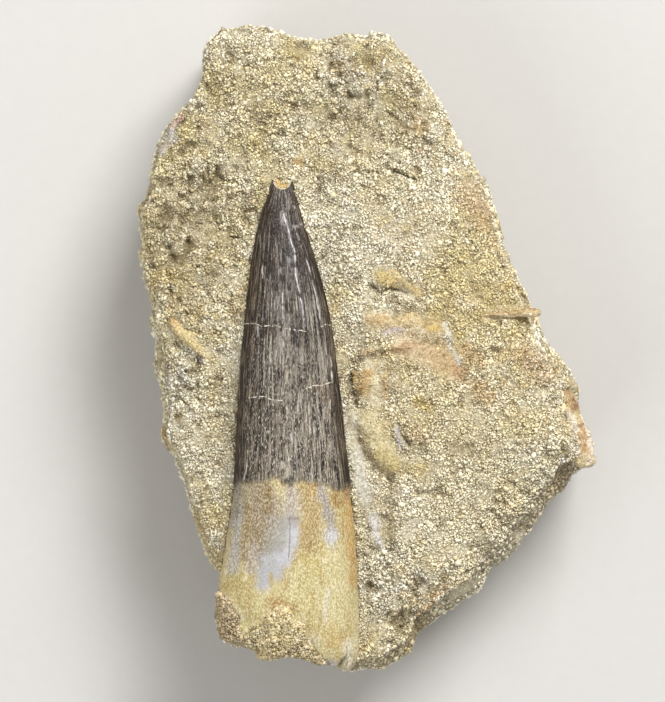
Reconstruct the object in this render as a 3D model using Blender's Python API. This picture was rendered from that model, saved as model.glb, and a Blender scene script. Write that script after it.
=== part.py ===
"""A fossil plesiosaur tooth lying in its block of coarse phosphatic sandstone.

Metres, +Z up. The block rests on its flat underside. The face that carries the tooth looks up, and the
tooth points along +Y. The origin is under the middle of the block, on the surface it rests on.
Every fossil lies in a pocket of the block, with a fine gap all round it.
"""
import math

import bmesh
import bpy

MM = 0.001

# Driving dimensions of the block
BLOCK_WIDTH = 49.8 * MM
BLOCK_LENGTH = 70.2 * MM
BLOCK_HEIGHT = 20.0 * MM

# The rim: how far the face drops and stands back there, how round the drop is, and its ripple
RIM_DROP = 1.5 * MM
RIM_LEAN = 1.0 * MM
RIM_ROUNDNESS = 12
RIM_RIPPLE = 0.35 * MM

# The side that slopes out furthest: its direction and its extra lean
SLOPING_SIDE = math.radians(-55.0)
SLOPING_LEAN = 1.7 * MM

# The broken sides and the foot
SIDE_RUGGEDNESS = 0.3 * MM
FOOT_CHAMFER = 1.4 * MM

# The low wave of the face: its lengths over one radian, and its rise
WAVE_X = 2.3 * MM
WAVE_Y = 2.9 * MM
WAVE_RISE = 0.15 * MM

# Driving dimensions of the tooth
CROWN_LENGTH = 32.0 * MM
ROOT_LENGTH = 18.4 * MM
TOOTH_TIP_Y = 17.7 * MM
ROOT_END_SLANT = 0.24

# Working gap between neighbouring pieces
GAP = 0.3 * MM

# How far a pocket runs out past the end of a piece that reaches the block's edge
RUN_OUT = 3.0 * MM

# How finely the shapes are divided
BLOCK_SPOKES = 88
TOOTH_SIDES = 36
TOOTH_STEPS = 4
FILL_SIDES = 20
BONE_SIDES = 10
BONE_STEPS = 2

# Outline of the block seen from above, in millimetres, clockwise from the top left corner.
# It is fitted to the block's width and length.
BLOCK_OUTLINE = (
    (-17.3, 31.1), (-16.7, 32.4), (-15.6, 33.6), (-13.4, 34.1), (-11.2, 34.2), (-9.3, 33.7),
    (-7.4, 33.0), (-5.2, 32.9), (-3.8, 33.2), (-2.3, 33.5), (-0.3, 33.2), (1.1, 33.5), (2.4, 33.1),
    (3.4, 31.7), (4.7, 30.5), (5.9, 29.0), (7.3, 27.1), (8.6, 24.9), (10.0, 21.7), (12.2, 18.9),
    (13.4, 16.4), (14.1, 14.0), (14.9, 10.9), (16.2, 7.7), (17.5, 5.1), (18.3, 3.3), (19.0, 1.5),
    (20.0, -0.1), (21.7, -1.9), (22.7, -4.2), (22.5, -6.0), (22.7, -7.7), (23.7, -9.5), (24.5, -11.4),
    (23.5, -12.4), (22.0, -13.0), (21.4, -14.5), (20.0, -15.8), (18.5, -18.0), (17.2, -19.7),
    (15.3, -21.9), (13.4, -23.0), (12.1, -25.1), (9.8, -26.9), (7.5, -28.4), (5.5, -30.1),
    (4.5, -32.2), (1.6, -33.7), (-0.8, -34.0), (-1.9, -34.2), (-4.3, -32.9), (-6.9, -32.2),
    (-8.8, -31.6), (-11.2, -30.8), (-12.5, -30.7), (-13.9, -31.3), (-15.7, -30.2), (-16.2, -27.7),
    (-15.6, -25.1), (-15.6, -23.6), (-16.8, -22.2), (-17.4, -20.6), (-18.7, -17.4), (-19.5, -14.2),
    (-20.8, -11.0), (-21.9, -9.4), (-21.8, -6.3), (-22.7, -2.1), (-22.8, 1.1), (-23.3, 3.5),
    (-23.2, 5.2), (-24.0, 8.1), (-24.2, 9.6), (-24.1, 12.8), (-24.4, 15.2), (-23.4, 16.3),
    (-22.9, 19.5), (-22.0, 23.1), (-19.8, 25.7), (-18.1, 27.7), (-17.5, 29.6),
)

# Swells and hollows of the face, in millimetres: place, radius and height
FACE_SWELLS = (
    (-11.2, 30.0, 6.0, 0.8),
    (1.8, 30.0, 5.0, 0.5),
    (-0.3, 23.4, 3.5, -0.8),
    (5.5, 19.5, 3.0, -0.5),
    (-16.5, 5.5, 6.0, 0.5),
    (-0.5, -13.0, 4.0, 0.6),
    (1.8, -5.0, 6.0, 0.6),
    (10.8, -7.3, 9.0, 0.4),
    (20.5, -3.0, 4.5, -1.0),
    (-22.5, -3.0, 4.5, -1.2),
    (15.5, -19.0, 7.0, -2.2),
    (5.0, -28.5, 5.5, -1.8),
    (-15.0, -28.8, 2.8, 2.4),
)

# Rows of the block's sides from rim to foot: part of the rim's height, and part of its lean
SIDE_ROWS = ((0.88, 0.55), (0.75, 0.15), (0.6, 0.0), (0.38, 0.25), (0.16, 0.65))
FACE_ROWS = (0.14, 0.28, 0.42, 0.55, 0.67, 0.78, 0.87, 0.94)

# The tooth's axis and girth: part of the crown's or root's length, then in millimetres the place aside,
# the height of its axis, its half width and its half depth
CROWN_STATIONS = (
    (0.0, -9.1, 20.5, 1.1, 1.0),
    (0.13, -9.15, 20.6, 2.4, 2.25),
    (0.285, -8.85, 20.7, 3.6, 3.35),
    (0.455, -8.5, 20.8, 4.55, 4.15),
    (0.63, -8.4, 20.8, 5.2, 4.75),
    (0.82, -8.2, 20.8, 5.7, 5.2),
    (1.0, -8.05, 20.7, 6.2, 5.65),
)
ROOT_STATIONS = (
    (0.33, -8.2, 20.3, 7.0, 5.7),
    (0.65, -8.5, 19.6, 7.6, 5.4),
    (0.87, -8.3, 19.0, 7.5, 4.9),
    (1.0, -8.2, 18.5, 7.0, 4.4),
)

# The other pieces, in millimetres: place, half width and half depth along each one
ROOT_FILL = (
    (-8.8, -26.6, 24.4, 0.6, 0.7),
    (-9.2, -28.4, 23.3, 2.0, 1.7),
    (-9.0, -30.4, 22.1, 2.9, 2.2),
    (-8.6, -32.2, 21.2, 3.2, 2.4),
)
BONE_PIECES = {
    "bone_sliver": ((12.2, 3.8, 19.6, 0.25, 0.9), (15.2, 3.9, 19.5, 0.4, 1.0), (18.6, 4.1, 19.0, 0.5, 1.1)),
    "corner_bone": (
        (21.3, -4.2, 17.6, 0.5, 1.3), (21.9, -6.6, 17.4, 0.8, 1.7), (22.5, -9.2, 17.2, 1.0, 1.9),
        (23.3, -11.2, 17.0, 0.8, 1.6),
    ),
    "bone_knob": ((0.0, -0.9, 20.1, 0.9, 0.9), (0.3, -3.0, 20.0, 1.8, 1.5), (0.7, -5.3, 20.0, 0.9, 1.0)),
    "bone_splinter": (
        (-0.9, -7.0, 20.1, 0.5, 0.9), (0.2, -8.9, 20.1, 1.25, 1.3), (1.3, -11.0, 20.0, 1.2, 1.3),
        (2.6, -12.8, 19.9, 0.5, 0.9),
    ),
    "bone_flake": (
        (-20.9, 3.4, 19.7, 0.35, 0.8), (-18.9, 1.4, 19.9, 0.8, 0.9), (-16.6, -0.8, 19.9, 0.4, 0.8),
    ),
    "bone_chip": (
        (0.8, 7.2, 19.8, 0.6, 0.9), (2.1, 7.9, 20.0, 1.1, 1.2), (3.7, 7.1, 19.9, 0.6, 1.0),
        (5.4, 5.7, 19.7, 0.3, 0.8),
    ),
    "bone_scrap": (
        (1.9, 2.2, 19.8, 0.5, 0.8), (3.8, 2.9, 19.9, 0.9, 1.1), (5.9, 3.3, 19.8, 1.0, 1.1),
        (7.6, 2.9, 19.7, 0.4, 0.8),
    ),
}

# Base colours seen in the piece, as linear red, green and blue, and roughness
SANDSTONE = ((0.50, 0.42, 0.22), 0.85)
ENAMEL = ((0.07, 0.05, 0.04), 0.35)
BONE = ((0.60, 0.37, 0.13), 0.55)


def clear_scene():
    for thing in list(bpy.context.scene.objects):
        bpy.data.objects.remove(thing, do_unlink=True)


def make_material(name, look):
    colour, roughness = look
    material = bpy.data.materials.new(name)
    material.use_nodes = True
    shader = material.node_tree.nodes["Principled BSDF"]
    shader.inputs["Base Color"].default_value = (*colour, 1.0)
    shader.inputs["Roughness"].default_value = roughness
    shader.inputs["Metallic"].default_value = 0.0
    return material


def between(before, start, end, after, part):
    """Catmull-Rom value between start and end, for rows of numbers of any length."""
    row = []
    for a, b, c, d in zip(before, start, end, after):
        row.append(0.5 * (2.0 * b + (c - a) * part + (2.0 * a - 5.0 * b + 4.0 * c - d) * part ** 2
                          + (3.0 * b - a - 3.0 * c + d) * part ** 3))
    return row


def open_curve(rows, steps):
    """Rows along a smooth curve through the given rows, with the given steps in each gap."""
    last = len(rows) - 1
    curve = []
    for index in range(last):
        before, after = rows[max(index - 1, 0)], rows[min(index + 2, last)]
        for step in range(steps):
            curve.append(between(before, rows[index], rows[index + 1], after, step / steps))
    curve.append(list(rows[last]))
    return curve


def even_loop(points, count):
    """Points spaced evenly by length along a closed line through the given points."""
    closed = list(points) + [points[0]]
    reach = [0.0]
    for start, end in zip(closed, closed[1:]):
        reach.append(reach[-1] + math.dist(start, end))
    loop = []
    gap = 0
    for index in range(count):
        target = reach[-1] * index / count
        while reach[gap + 1] < target:
            gap += 1
        part = (target - reach[gap]) / (reach[gap + 1] - reach[gap])
        start, end = closed[gap], closed[gap + 1]
        loop.append([start[0] + (end[0] - start[0]) * part, start[1] + (end[1] - start[1]) * part])
    return loop


def fitted(points, width, length):
    """The points moved and stretched so that their box has the given size and its middle at the origin."""
    columns = []
    for values, size in zip(zip(*points), (width, length)):
        middle, span = (min(values) + max(values)) / 2.0, max(values) - min(values)
        columns.append([(value - middle) * size / span for value in values])
    return [list(point) for point in zip(*columns)]


def towards_middle(point, distance):
    """The point moved in towards the middle of the face."""
    span = math.hypot(*point)
    return [point[0] * (1.0 - distance / span), point[1] * (1.0 - distance / span)]


def face_height(x, y):
    """Height of the block's face: a plane with named swells and a low wave."""
    height = BLOCK_HEIGHT
    for swell_x, swell_y, radius, rise in FACE_SWELLS:
        away = ((x / MM - swell_x) ** 2 + (y / MM - swell_y) ** 2) / radius ** 2
        height += rise * MM * math.exp(-away)
    return height + WAVE_RISE * math.sin(x / WAVE_X + 1.0) * math.cos(y / WAVE_Y - 0.6)


def lean(point):
    """How far the rim stands inside the block's widest line, which is most on the sloping side."""
    angle = math.atan2(point[1], point[0])
    slope = max(0.0, math.cos(angle - SLOPING_SIDE)) ** 2
    ripple = math.sin(5.0 * angle + 0.8) * math.cos(3.0 * angle)
    return RIM_LEAN + SLOPING_LEAN * slope + RIM_RIPPLE * ripple


def side_roughness(index, row):
    """A broken face's unevenness, which only ever goes inwards."""
    return SIDE_RUGGEDNESS * (1.0 + math.sin(index * 0.9 + row * 2.1) * math.cos(index * 0.37 - row))


def skin_rings(name, rings, top_pole, bottom_pole, material):
    """One closed body: rings from the first pole to the last, counter-clockwise seen from the first."""
    mesh = bpy.data.meshes.new(name)
    shape = bmesh.new()
    first = shape.verts.new(top_pole)
    rows = [[shape.verts.new(point) for point in ring] for ring in rings]
    last = shape.verts.new(bottom_pole)
    count = len(rows[0])
    for index in range(count):
        after = (index + 1) % count
        shape.faces.new((first, rows[0][index], rows[0][after]))
        shape.faces.new((last, rows[-1][after], rows[-1][index]))
        for upper, lower in zip(rows, rows[1:]):
            shape.faces.new((upper[index], lower[index], lower[after], upper[after]))
    bmesh.ops.recalc_face_normals(shape, faces=shape.faces)
    shape.to_mesh(mesh)
    shape.free()
    mesh.shade_smooth()
    thing = bpy.data.objects.new(name, mesh)
    bpy.context.collection.objects.link(thing)
    mesh.materials.append(material)
    return thing


def loft(name, stations, sides, material, grow=0.0, run_on=0.0, slant=0.0):
    """A closed body along a path: oval rings of the given half width and half depth, with blunt ends.

    A station is x, y, z, half width and half depth. The body grows all round by grow, a last ring run_on
    further makes it longer, and slant shears the last ring along the path from one side to the other.
    """
    stations = list(stations)
    if run_on:
        (x, y), (before_x, before_y) = stations[-1][:2], stations[-2][:2]
        stretch = run_on / math.hypot(x - before_x, y - before_y)
        stations.append([x + (x - before_x) * stretch, y + (y - before_y) * stretch, *stations[-1][2:]])
    rings = []
    last = len(stations) - 1
    for index, (x, y, z, half_width, half_depth) in enumerate(stations):
        before, after = stations[max(index - 1, 0)], stations[min(index + 1, last)]
        along_x, along_y = after[0] - before[0], after[1] - before[1]
        span = math.hypot(along_x, along_y)
        along_x, along_y = along_x / span, along_y / span
        step = {0: -grow, last: grow}.get(index, 0.0)
        shear = slant if index == last else 0.0
        ring = []
        for side in range(sides):
            turn = 2.0 * math.pi * side / sides
            aside = (half_width + grow) * math.cos(turn)
            forth = step + shear * aside
            ring.append((
                x + along_x * forth - along_y * aside,
                y + along_y * forth + along_x * aside,
                z + (half_depth + grow) * math.sin(turn),
            ))
        rings.append(ring)
    start_pole = [sum(p[axis] for p in rings[0]) / sides for axis in range(3)]
    end_pole = [sum(p[axis] for p in rings[-1]) / sides for axis in range(3)]
    return skin_rings(name, rings, start_pole, end_pole, material)


def in_metres(rows):
    return [[value * MM for value in row] for row in rows]


def block_body(material):
    """The block without its pockets: rings out over the face, down the sides and in under the foot."""
    loop = fitted(even_loop(BLOCK_OUTLINE, BLOCK_SPOKES), BLOCK_WIDTH, BLOCK_LENGTH)
    rim = [towards_middle(point, lean(point)) for point in loop]
    rings = []
    for part in FACE_ROWS:
        ring = [(x * part, y * part) for x, y in rim]
        rings.append([(x, y, face_height(x, y) - RIM_DROP * part ** RIM_ROUNDNESS) for x, y in ring])
    rim_heights = [face_height(x, y) - RIM_DROP for x, y in rim]
    rings.append([(x, y, height) for (x, y), height in zip(rim, rim_heights)])
    for row, (height_part, lean_part) in enumerate(SIDE_ROWS):
        ring = []
        for index, point in enumerate(loop):
            inward = lean(point) * lean_part + side_roughness(index, row) * min(1.0, 2.0 * lean_part)
            x, y = towards_middle(point, inward)
            ring.append((x, y, rim_heights[index] * height_part))
        rings.append(ring)
    foot = [towards_middle(point, lean(point) + FOOT_CHAMFER) for point in loop]
    rings.append([(x, y, 0.0) for x, y in foot])
    return skin_rings("matrix", rings, (0.0, 0.0, face_height(0.0, 0.0)), (0.0, 0.0, 0.0), material)


def cut(thing, cutter):
    """Takes the cutter's shape out of the thing, and leaves the cutter out of the model."""
    cutter.hide_render = True
    cutter.display_type = "WIRE"
    boolean = thing.modifiers.new("pocket_" + cutter.name, "BOOLEAN")
    boolean.operation = "DIFFERENCE"
    boolean.solver = "EXACT"
    boolean.object = cutter


def tooth_path():
    """The tooth's stations from tip to root end, as places, half widths and half depths."""
    stations = [(part * CROWN_LENGTH, *girth) for part, *girth in CROWN_STATIONS]
    stations += [(CROWN_LENGTH + part * ROOT_LENGTH, *girth) for part, *girth in ROOT_STATIONS]
    rows = []
    for along, aside, height, half_width, half_depth in open_curve(stations, TOOTH_STEPS):
        rows.append([aside * MM, TOOTH_TIP_Y - along, height * MM, half_width * MM, half_depth * MM])
    return rows


def build():
    clear_scene()
    sandstone = make_material("phosphatic_sandstone", SANDSTONE)
    enamel = make_material("fossil_enamel", ENAMEL)
    bone = make_material("fossil_bone", BONE)

    matrix = block_body(sandstone)
    rows = tooth_path()
    tooth = loft("tooth", rows, TOOTH_SIDES, enamel, slant=ROOT_END_SLANT)
    cut(matrix, loft("tooth_pocket", rows, TOOTH_SIDES, enamel, GAP, RUN_OUT))

    rows = open_curve(in_metres(ROOT_FILL), BONE_STEPS)
    loft("root_fill", rows, FILL_SIDES, sandstone)
    cut(tooth, loft("fill_pocket", rows, FILL_SIDES, sandstone, GAP, RUN_OUT))

    for name, stations in BONE_PIECES.items():
        rows = open_curve(in_metres(stations), BONE_STEPS)
        loft(name, rows, BONE_SIDES, bone)
        cut(matrix, loft(name + "_pocket", rows, BONE_SIDES, bone, GAP))


build()
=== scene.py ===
"""Looks of a fossil plesiosaur tooth bedded in its block of phosphatic sandstone.

Laid out as an add-on and run as a script. Shapes are worked out in millimetres, in the block's own
frame: x to the right, y towards the tooth's tip, z up from the underside. Meshes are written in metres.
"""
import itertools
import math

import bpy
import numpy as np
from bpy.props import FloatProperty, FloatVectorProperty, IntProperty, PointerProperty
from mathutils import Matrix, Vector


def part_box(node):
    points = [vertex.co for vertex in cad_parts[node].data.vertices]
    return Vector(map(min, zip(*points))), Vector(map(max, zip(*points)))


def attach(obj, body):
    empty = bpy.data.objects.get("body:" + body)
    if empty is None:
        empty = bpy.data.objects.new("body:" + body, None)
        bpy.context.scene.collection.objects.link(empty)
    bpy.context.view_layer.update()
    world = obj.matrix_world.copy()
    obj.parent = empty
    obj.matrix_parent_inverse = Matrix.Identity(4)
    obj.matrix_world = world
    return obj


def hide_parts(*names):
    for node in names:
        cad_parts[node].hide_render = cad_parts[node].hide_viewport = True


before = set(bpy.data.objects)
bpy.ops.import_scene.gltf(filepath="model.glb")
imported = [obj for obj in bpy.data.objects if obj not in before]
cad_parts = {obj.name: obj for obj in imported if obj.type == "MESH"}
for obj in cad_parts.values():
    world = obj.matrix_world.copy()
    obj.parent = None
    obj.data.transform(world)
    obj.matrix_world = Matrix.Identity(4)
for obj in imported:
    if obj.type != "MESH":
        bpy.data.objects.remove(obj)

bl_info = {
    "name": "Fossil tooth in matrix",
    "version": (1, 0, 0),
    "blender": (4, 5, 0),
    "location": "View3D > Sidebar > Fossil",
    "description": "Builds a fossil tooth, its block of sandstone and the scraps of bone in it",
    "category": "Object",
}

MM = 0.001
TURN = 2.0 * math.pi
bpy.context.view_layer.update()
BODY = "root"

# The photograph: size in pixels, millimetres a pixel at the face, and the pixel of the block's middle
PHOTO_WIDTH, PHOTO_HEIGHT = 665, 702
PHOTO_SCALE = 0.106
PHOTO_MIDDLE = (368.0, 351.0)
FACE_LEVEL = 20.0
CAMERA_DISTANCE = 450.0
SENSOR = 36.0

# The floor's level in millimetres, just clear of the block's underside
FLOOR_LEVEL = -0.05

# The two soft lights: place and width in metres
KEY_LIGHT = ((0.22, 0.40, 0.50), 0.3)
FILL_LIGHT = ((-0.40, -0.30, 0.42), 0.5)

# Outline of the block seen from above, in millimetres, clockwise from the top left corner
BLOCK_OUTLINE = np.array((
    (-17.3, 31.1), (-16.7, 32.4), (-15.6, 33.6), (-13.4, 34.1), (-11.2, 34.2), (-9.3, 33.7),
    (-7.4, 33.0), (-5.2, 32.9), (-3.8, 33.2), (-2.3, 33.5), (-0.3, 33.2), (1.1, 33.5), (2.4, 33.1),
    (3.4, 31.7), (4.7, 30.5), (5.9, 29.0), (7.3, 27.1), (8.6, 24.9), (10.0, 21.7), (12.2, 18.9),
    (13.4, 16.4), (14.1, 14.0), (14.9, 10.9), (16.2, 7.7), (17.5, 5.1), (18.3, 3.3), (19.0, 1.5),
    (20.0, -0.1), (21.7, -1.9), (22.7, -4.2), (22.5, -6.0), (22.7, -7.7), (23.7, -9.5), (24.5, -11.4),
    (23.5, -12.4), (22.0, -13.0), (21.4, -14.5), (20.0, -15.8), (18.5, -18.0), (17.2, -19.7),
    (15.3, -21.9), (13.4, -23.0), (12.1, -25.1), (9.8, -26.9), (7.5, -28.4), (5.5, -30.1),
    (4.5, -32.2), (1.6, -33.7), (-0.8, -34.0), (-1.9, -34.2), (-4.3, -32.9), (-6.9, -32.2),
    (-8.8, -31.6), (-11.2, -30.8), (-12.5, -30.7), (-13.9, -31.3), (-15.7, -30.2), (-16.2, -27.7),
    (-15.6, -25.1), (-15.6, -23.6), (-16.8, -22.2), (-17.4, -20.6), (-18.7, -17.4), (-19.5, -14.2),
    (-20.8, -11.0), (-21.9, -9.4), (-21.8, -6.3), (-22.7, -2.1), (-22.8, 1.1), (-23.3, 3.5),
    (-23.2, 5.2), (-24.0, 8.1), (-24.2, 9.6), (-24.1, 12.8), (-24.4, 15.2), (-23.4, 16.3),
    (-22.9, 19.5), (-22.0, 23.1), (-19.8, 25.7), (-18.1, 27.7), (-17.5, 29.6),
))

# Swells and hollows of the face, in millimetres: place, radius and height
FACE_SWELLS = (
    (-11.2, 30.0, 6.0, 0.8),
    (1.8, 30.0, 5.0, 0.5),
    (-0.3, 23.4, 3.5, -0.8),
    (5.5, 19.5, 3.0, -0.5),
    (-16.5, 5.5, 6.0, 0.5),
    (-0.5, -13.0, 4.0, 0.6),
    (1.8, -5.0, 6.0, 0.6),
    (10.8, -7.3, 9.0, 0.4),
    (20.5, -3.0, 4.5, -1.0),
    (-22.5, -3.0, 4.5, -1.2),
    (15.5, -19.0, 7.0, -2.2),
    (5.0, -28.5, 5.5, -1.8),
    (-15.0, -28.8, 2.8, 2.4),
)

# Sand that rises against the tooth: its height and how far it reaches
COLLAR_HEIGHT, COLLAR_REACH = 0.5, 0.9

# Narrow grooves and ridges of the face: half width, height (a groove's is below nought) and route
FACE_LINES = (
    (0.28, -0.75, ((1.8, 19.5), (3.4, 18.9), (5.0, 18.2))),
    (0.5, -0.9, ((-1.6, -1.4), (-1.9, -3.6), (-1.2, -5.9))),
    (0.6, -0.6, ((-1.5, -8.6), (-0.6, -10.9), (0.6, -12.6), (2.2, -13.8))),
    (1.1, 0.35, ((0.2, -7.6), (1.3, -10.0), (3.2, -12.2))),
    (0.7, 0.3, ((0.2, 3.2), (3.0, 3.3), (7.0, 2.6))),
    (0.45, -0.35, ((2.4, -13.4), (2.9, -17.0), (2.2, -21.5))),
    (0.25, -0.5, ((3.1, -7.7), (3.6, -9.0), (4.3, -9.9))),
    (0.3, 0.4, ((2.9, -7.7), (3.2, -9.2), (3.9, -10.3))),
    (0.3, -0.7, ((0.4, 6.9), (1.3, 6.1), (2.4, 6.7), (4.0, 6.2))),
    (0.3, 0.35, ((2.8, 7.9), (4.2, 7.0), (5.6, 5.7))),
    (0.25, 0.35, ((-0.7, -0.4), (1.6, 0.3), (4.8, 0.5))),
    (0.3, 0.3, ((8.8, 1.6), (9.5, 0.2), (9.9, -1.0))),
    (0.5, -0.7, ((-20.2, 0.6), (-19.3, -0.4), (-18.2, -1.0))),
    (0.3, -0.8, ((13.2, 0.2), (13.7, 0.0))),
    (0.5, -0.5, ((-1.6, 24.6), (0.0, 23.4), (1.2, 22.2))),
    (0.6, -0.8, ((21.7, -4.4), (21.9, -5.4))),
)

# The rim and the sides: how far the rim drops, how far it stands inside the widest line, all round and
# on two sides, and how far that line stands inside the solid's and is bitten
RIM_DROP, RIM_ROUNDNESS = 1.5, 12
RIM_LEAN, RIM_RIPPLE = 0.75, 0.35
SLOPING_SIDE, SLOPING_LEAN = math.radians(-55.0), 1.7
LEFT_SIDE, LEFT_LEAN = math.radians(178.0), 0.5
EDGE_INSET, EDGE_BITE = 0.2, 0.13
FOOT_CHAMFER = 1.4

# A side's profile: the share of the lean at each share of the depth
SIDE_DEPTHS = (0.0, 0.12, 0.25, 0.4, 0.62, 0.84, 1.0)
SIDE_LEANS = (1.0, 0.55, 0.15, 0.0, 0.25, 0.65, 1.0)

# The low wave of the face: how far it takes to turn through one radian along x and y, and its height
WAVE_X, WAVE_Y, WAVE_RISE = 2.3, 2.9, 0.15

# Where the tooth covers the rock by this much, the rock's surface is sunk by this much, clear of it
BED_COVER, BED_DEPTH = 2.0, 0.9

# The block's grid: cells across its face, rows down its side and rows underneath
FACE_CELLS, SIDE_ROWS, UNDER_ROWS = 214, 36, 9

# The sides laid flat, for setting out grains: length round them and depth
SIDE_LENGTH, SIDE_DEPTH = 204.0, 19.0

# Millimetres across the whole of a piece's unwrapped map, for the block's face and for a single grain
BLOCK_MAP, GRAIN_MAP = 74.0, 240.0

# The most grains that one piece holds, of 12 triangles each
MOST_GRAINS = 16000

# The tooth: its lengths along y and the place of its tip
CROWN_LENGTH = 32.0
ROOT_LENGTH = 18.4
TOOTH_LENGTH = CROWN_LENGTH + ROOT_LENGTH
TOOTH_TIP_Y = 17.7

# Its broken ends: tilt of the tip's break, slant of the root's, how far that end draws in and from where
TIP_BREAK_TILT = 0.9
ROOT_END_SLANT = 0.24
ROOT_END_ROUNDING, ROOT_END_REACH = 0.6, 1.6

# Level of the root's underside at the rim of the block, and thickness of the root's wall at its end
ROOT_UNDERSIDE = 13.5
DENTINE = 0.7

# At each station: distance from the tip, place aside, height of the axis, half width and half depth
TOOTH_STATIONS = np.array((
    (0.0, -9.1, 20.5, 1.1, 1.0),
    (4.16, -9.15, 20.6, 2.4, 2.25),
    (9.12, -8.85, 20.7, 3.6, 3.35),
    (14.56, -8.5, 20.8, 4.55, 4.15),
    (20.16, -8.4, 20.8, 5.2, 4.75),
    (26.24, -8.2, 20.8, 5.7, 5.2),
    (32.0, -8.05, 20.7, 6.2, 5.65),
    (38.07, -8.2, 20.3, 7.0, 5.7),
    (43.96, -8.5, 19.6, 7.6, 5.4),
    (48.0, -8.3, 19.0, 7.5, 4.9),
    (50.4, -8.2, 18.5, 7.0, 4.4),
))

# The tooth's grid: points round it, rows along it and rings in each end cap, with points bunched on top
TOOTH_SIDES, TOOTH_ROWS, CAP_RINGS, BUNCHING = 468, 190, 12, 0.55

# Where the enamel ends on the root, in millimetres across and along the face
ENAMEL_EDGE = np.array((
    (-14.3, -14.3), (-13.1, -13.7), (-11.6, -13.5), (-10.3, -13.4), (-9.5, -13.2), (-8.7, -14.0),
    (-7.3, -13.7), (-5.8, -13.7), (-4.5, -14.1), (-3.8, -14.7), (-3.0, -14.7), (-2.2, -14.3),
))

# Sand that sticks to the root: round its lower left corner and over its broken end
ROOT_SAND = (
    (-20.0, -25.0), (-15.6, -25.5), (-14.5, -26.5), (-13.5, -27.9), (-13.7, -29.1), (-12.8, -29.8),
    (-12.2, -29.1), (-10.8, -28.5), (-9.1, -27.3), (-7.7, -28.7), (-6.9, -29.6), (-5.8, -31.2),
    (-5.1, -32.2), (-4.2, -33.0), (-3.5, -37.0), (-20.0, -37.0),
)

# Cracks across the crown, each a route across the face from left to right, and a distance beyond them all
NO_CRACK = 9.0
CRACKS = (
    np.array(((-13.2, 2.9), (-11.8, 2.9), (-11.2, 2.6), (-9.8, 2.6), (-8.2, 2.3), (-6.5, 2.1))),
    np.array(((-5.0, 2.5), (-4.4, 2.8), (-3.9, 2.8))),
    np.array(((-12.6, -4.9), (-11.7, -4.8), (-10.9, -4.8), (-9.8, -5.2), (-9.0, -5.2))),
    np.array(((-7.1, -4.2), (-5.9, -3.7), (-5.0, -3.6), (-3.7, -3.2))),
)

# Marks are strokes: half width, colour, strength and route, in millimetres
CROWN_MARKS = (
    (1.3, "#8a8078", 0.4, ((-8.6, 8.0), (-8.4, 0.0))),
    (1.8, "#938a7d", 0.5, ((-8.2, -1.0), (-8.0, -12.5))),
    (0.7, "#6e5745", 0.5, ((-5.4, -3.7), (-4.2, -4.6))),
    (0.35, "#a9a4a2", 0.7, ((-9.2, 14.8), (-8.9, 13.6))),
    (0.3, "#9c9896", 0.6, ((-8.4, 10.1), (-8.1, 8.9))),
    (0.22, "#8f898a", 0.4, ((-9.0, 15.2), (-8.4, 12.8), (-8.0, 10.8), (-7.5, 8.0), (-7.0, 5.0),
                            (-6.7, 2.6))),
    (0.07, "#d9d5d5", 0.95, ((-9.0, 15.7), (-9.0, 14.5), (-8.4, 12.8), (-8.1, 11.5), (-7.7, 10.3),
                            (-7.7, 8.4), (-7.3, 6.6), (-7.0, 5.0), (-6.8, 3.5), (-6.7, 2.3))),
    (0.07, "#d3cecc", 0.95, ((-6.8, 10.5), (-6.2, 8.5), (-5.7, 6.8), (-5.3, 4.7), (-4.9, 2.8))),
    (0.09, "#a39c98", 0.8, ((-7.7, 13.0), (-7.2, 11.3), (-6.8, 10.5))),
    (0.12, "#b0aaa6", 0.8, ((-8.0, 13.0), (-6.9, 13.4))),
    (0.08, "#c9c3c0", 0.8, ((-7.9, 16.0), (-7.8, 15.2))),
    (0.07, "#d6d2ce", 1.0, ((-11.1, 9.3), (-11.1, 7.8))),
    (0.06, "#a39c97", 0.7, ((-11.4, 12.2), (-11.3, 10.3))),
    (0.06, "#b3aca6", 0.8, ((-9.5, 9.6), (-9.5, 8.4))),
    (0.06, "#a39c97", 0.7, ((-10.3, 8.4), (-10.2, 5.8))),
    (0.06, "#9c9590", 0.7, ((-9.2, 10.8), (-9.2, 8.2))),
    (0.07, "#c9c3bc", 0.9, ((-9.0, 6.1), (-8.9, 0.5))),
    (0.06, "#b3aca6", 0.8, ((-10.9, 6.6), (-10.9, 5.5))),
    (0.07, "#d6d2ce", 1.0, ((-11.6, 3.3), (-11.6, 1.5))),
    (0.06, "#b3aca0", 0.8, ((-12.7, 5.9), (-12.8, 3.1))),
    (0.1, "#e6e3e0", 1.0, ((-3.9, -2.0), (-3.6, -3.5))),
    (0.08, "#cfc9c2", 0.9, ((-4.0, -0.4), (-3.8, -2.6), (-3.6, -3.3), (-3.2, -4.4), (-3.0, -5.9))),
    (0.07, "#cbc4ba", 0.9, ((-12.5, -9.3), (-12.7, -11.1), (-12.9, -12.9), (-13.2, -13.6))),
    (0.06, "#a8a196", 0.8, ((-11.2, -9.1), (-11.3, -10.5))),
    (0.08, "#c3bdb4", 0.9, ((-8.1, -8.4), (-8.0, -9.9))),
    (0.05, "#b3ab9c", 0.8, ((-13.8, -12.3), (-13.9, -14.7))),
    (0.06, "#c9c3bc", 0.8, ((-4.0, -5.1), (-4.0, -6.1))),
    (0.5, "#c2b9a4", 0.5, ((-8.9, -11.9), (-8.3, -13.0))),
)
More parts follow.
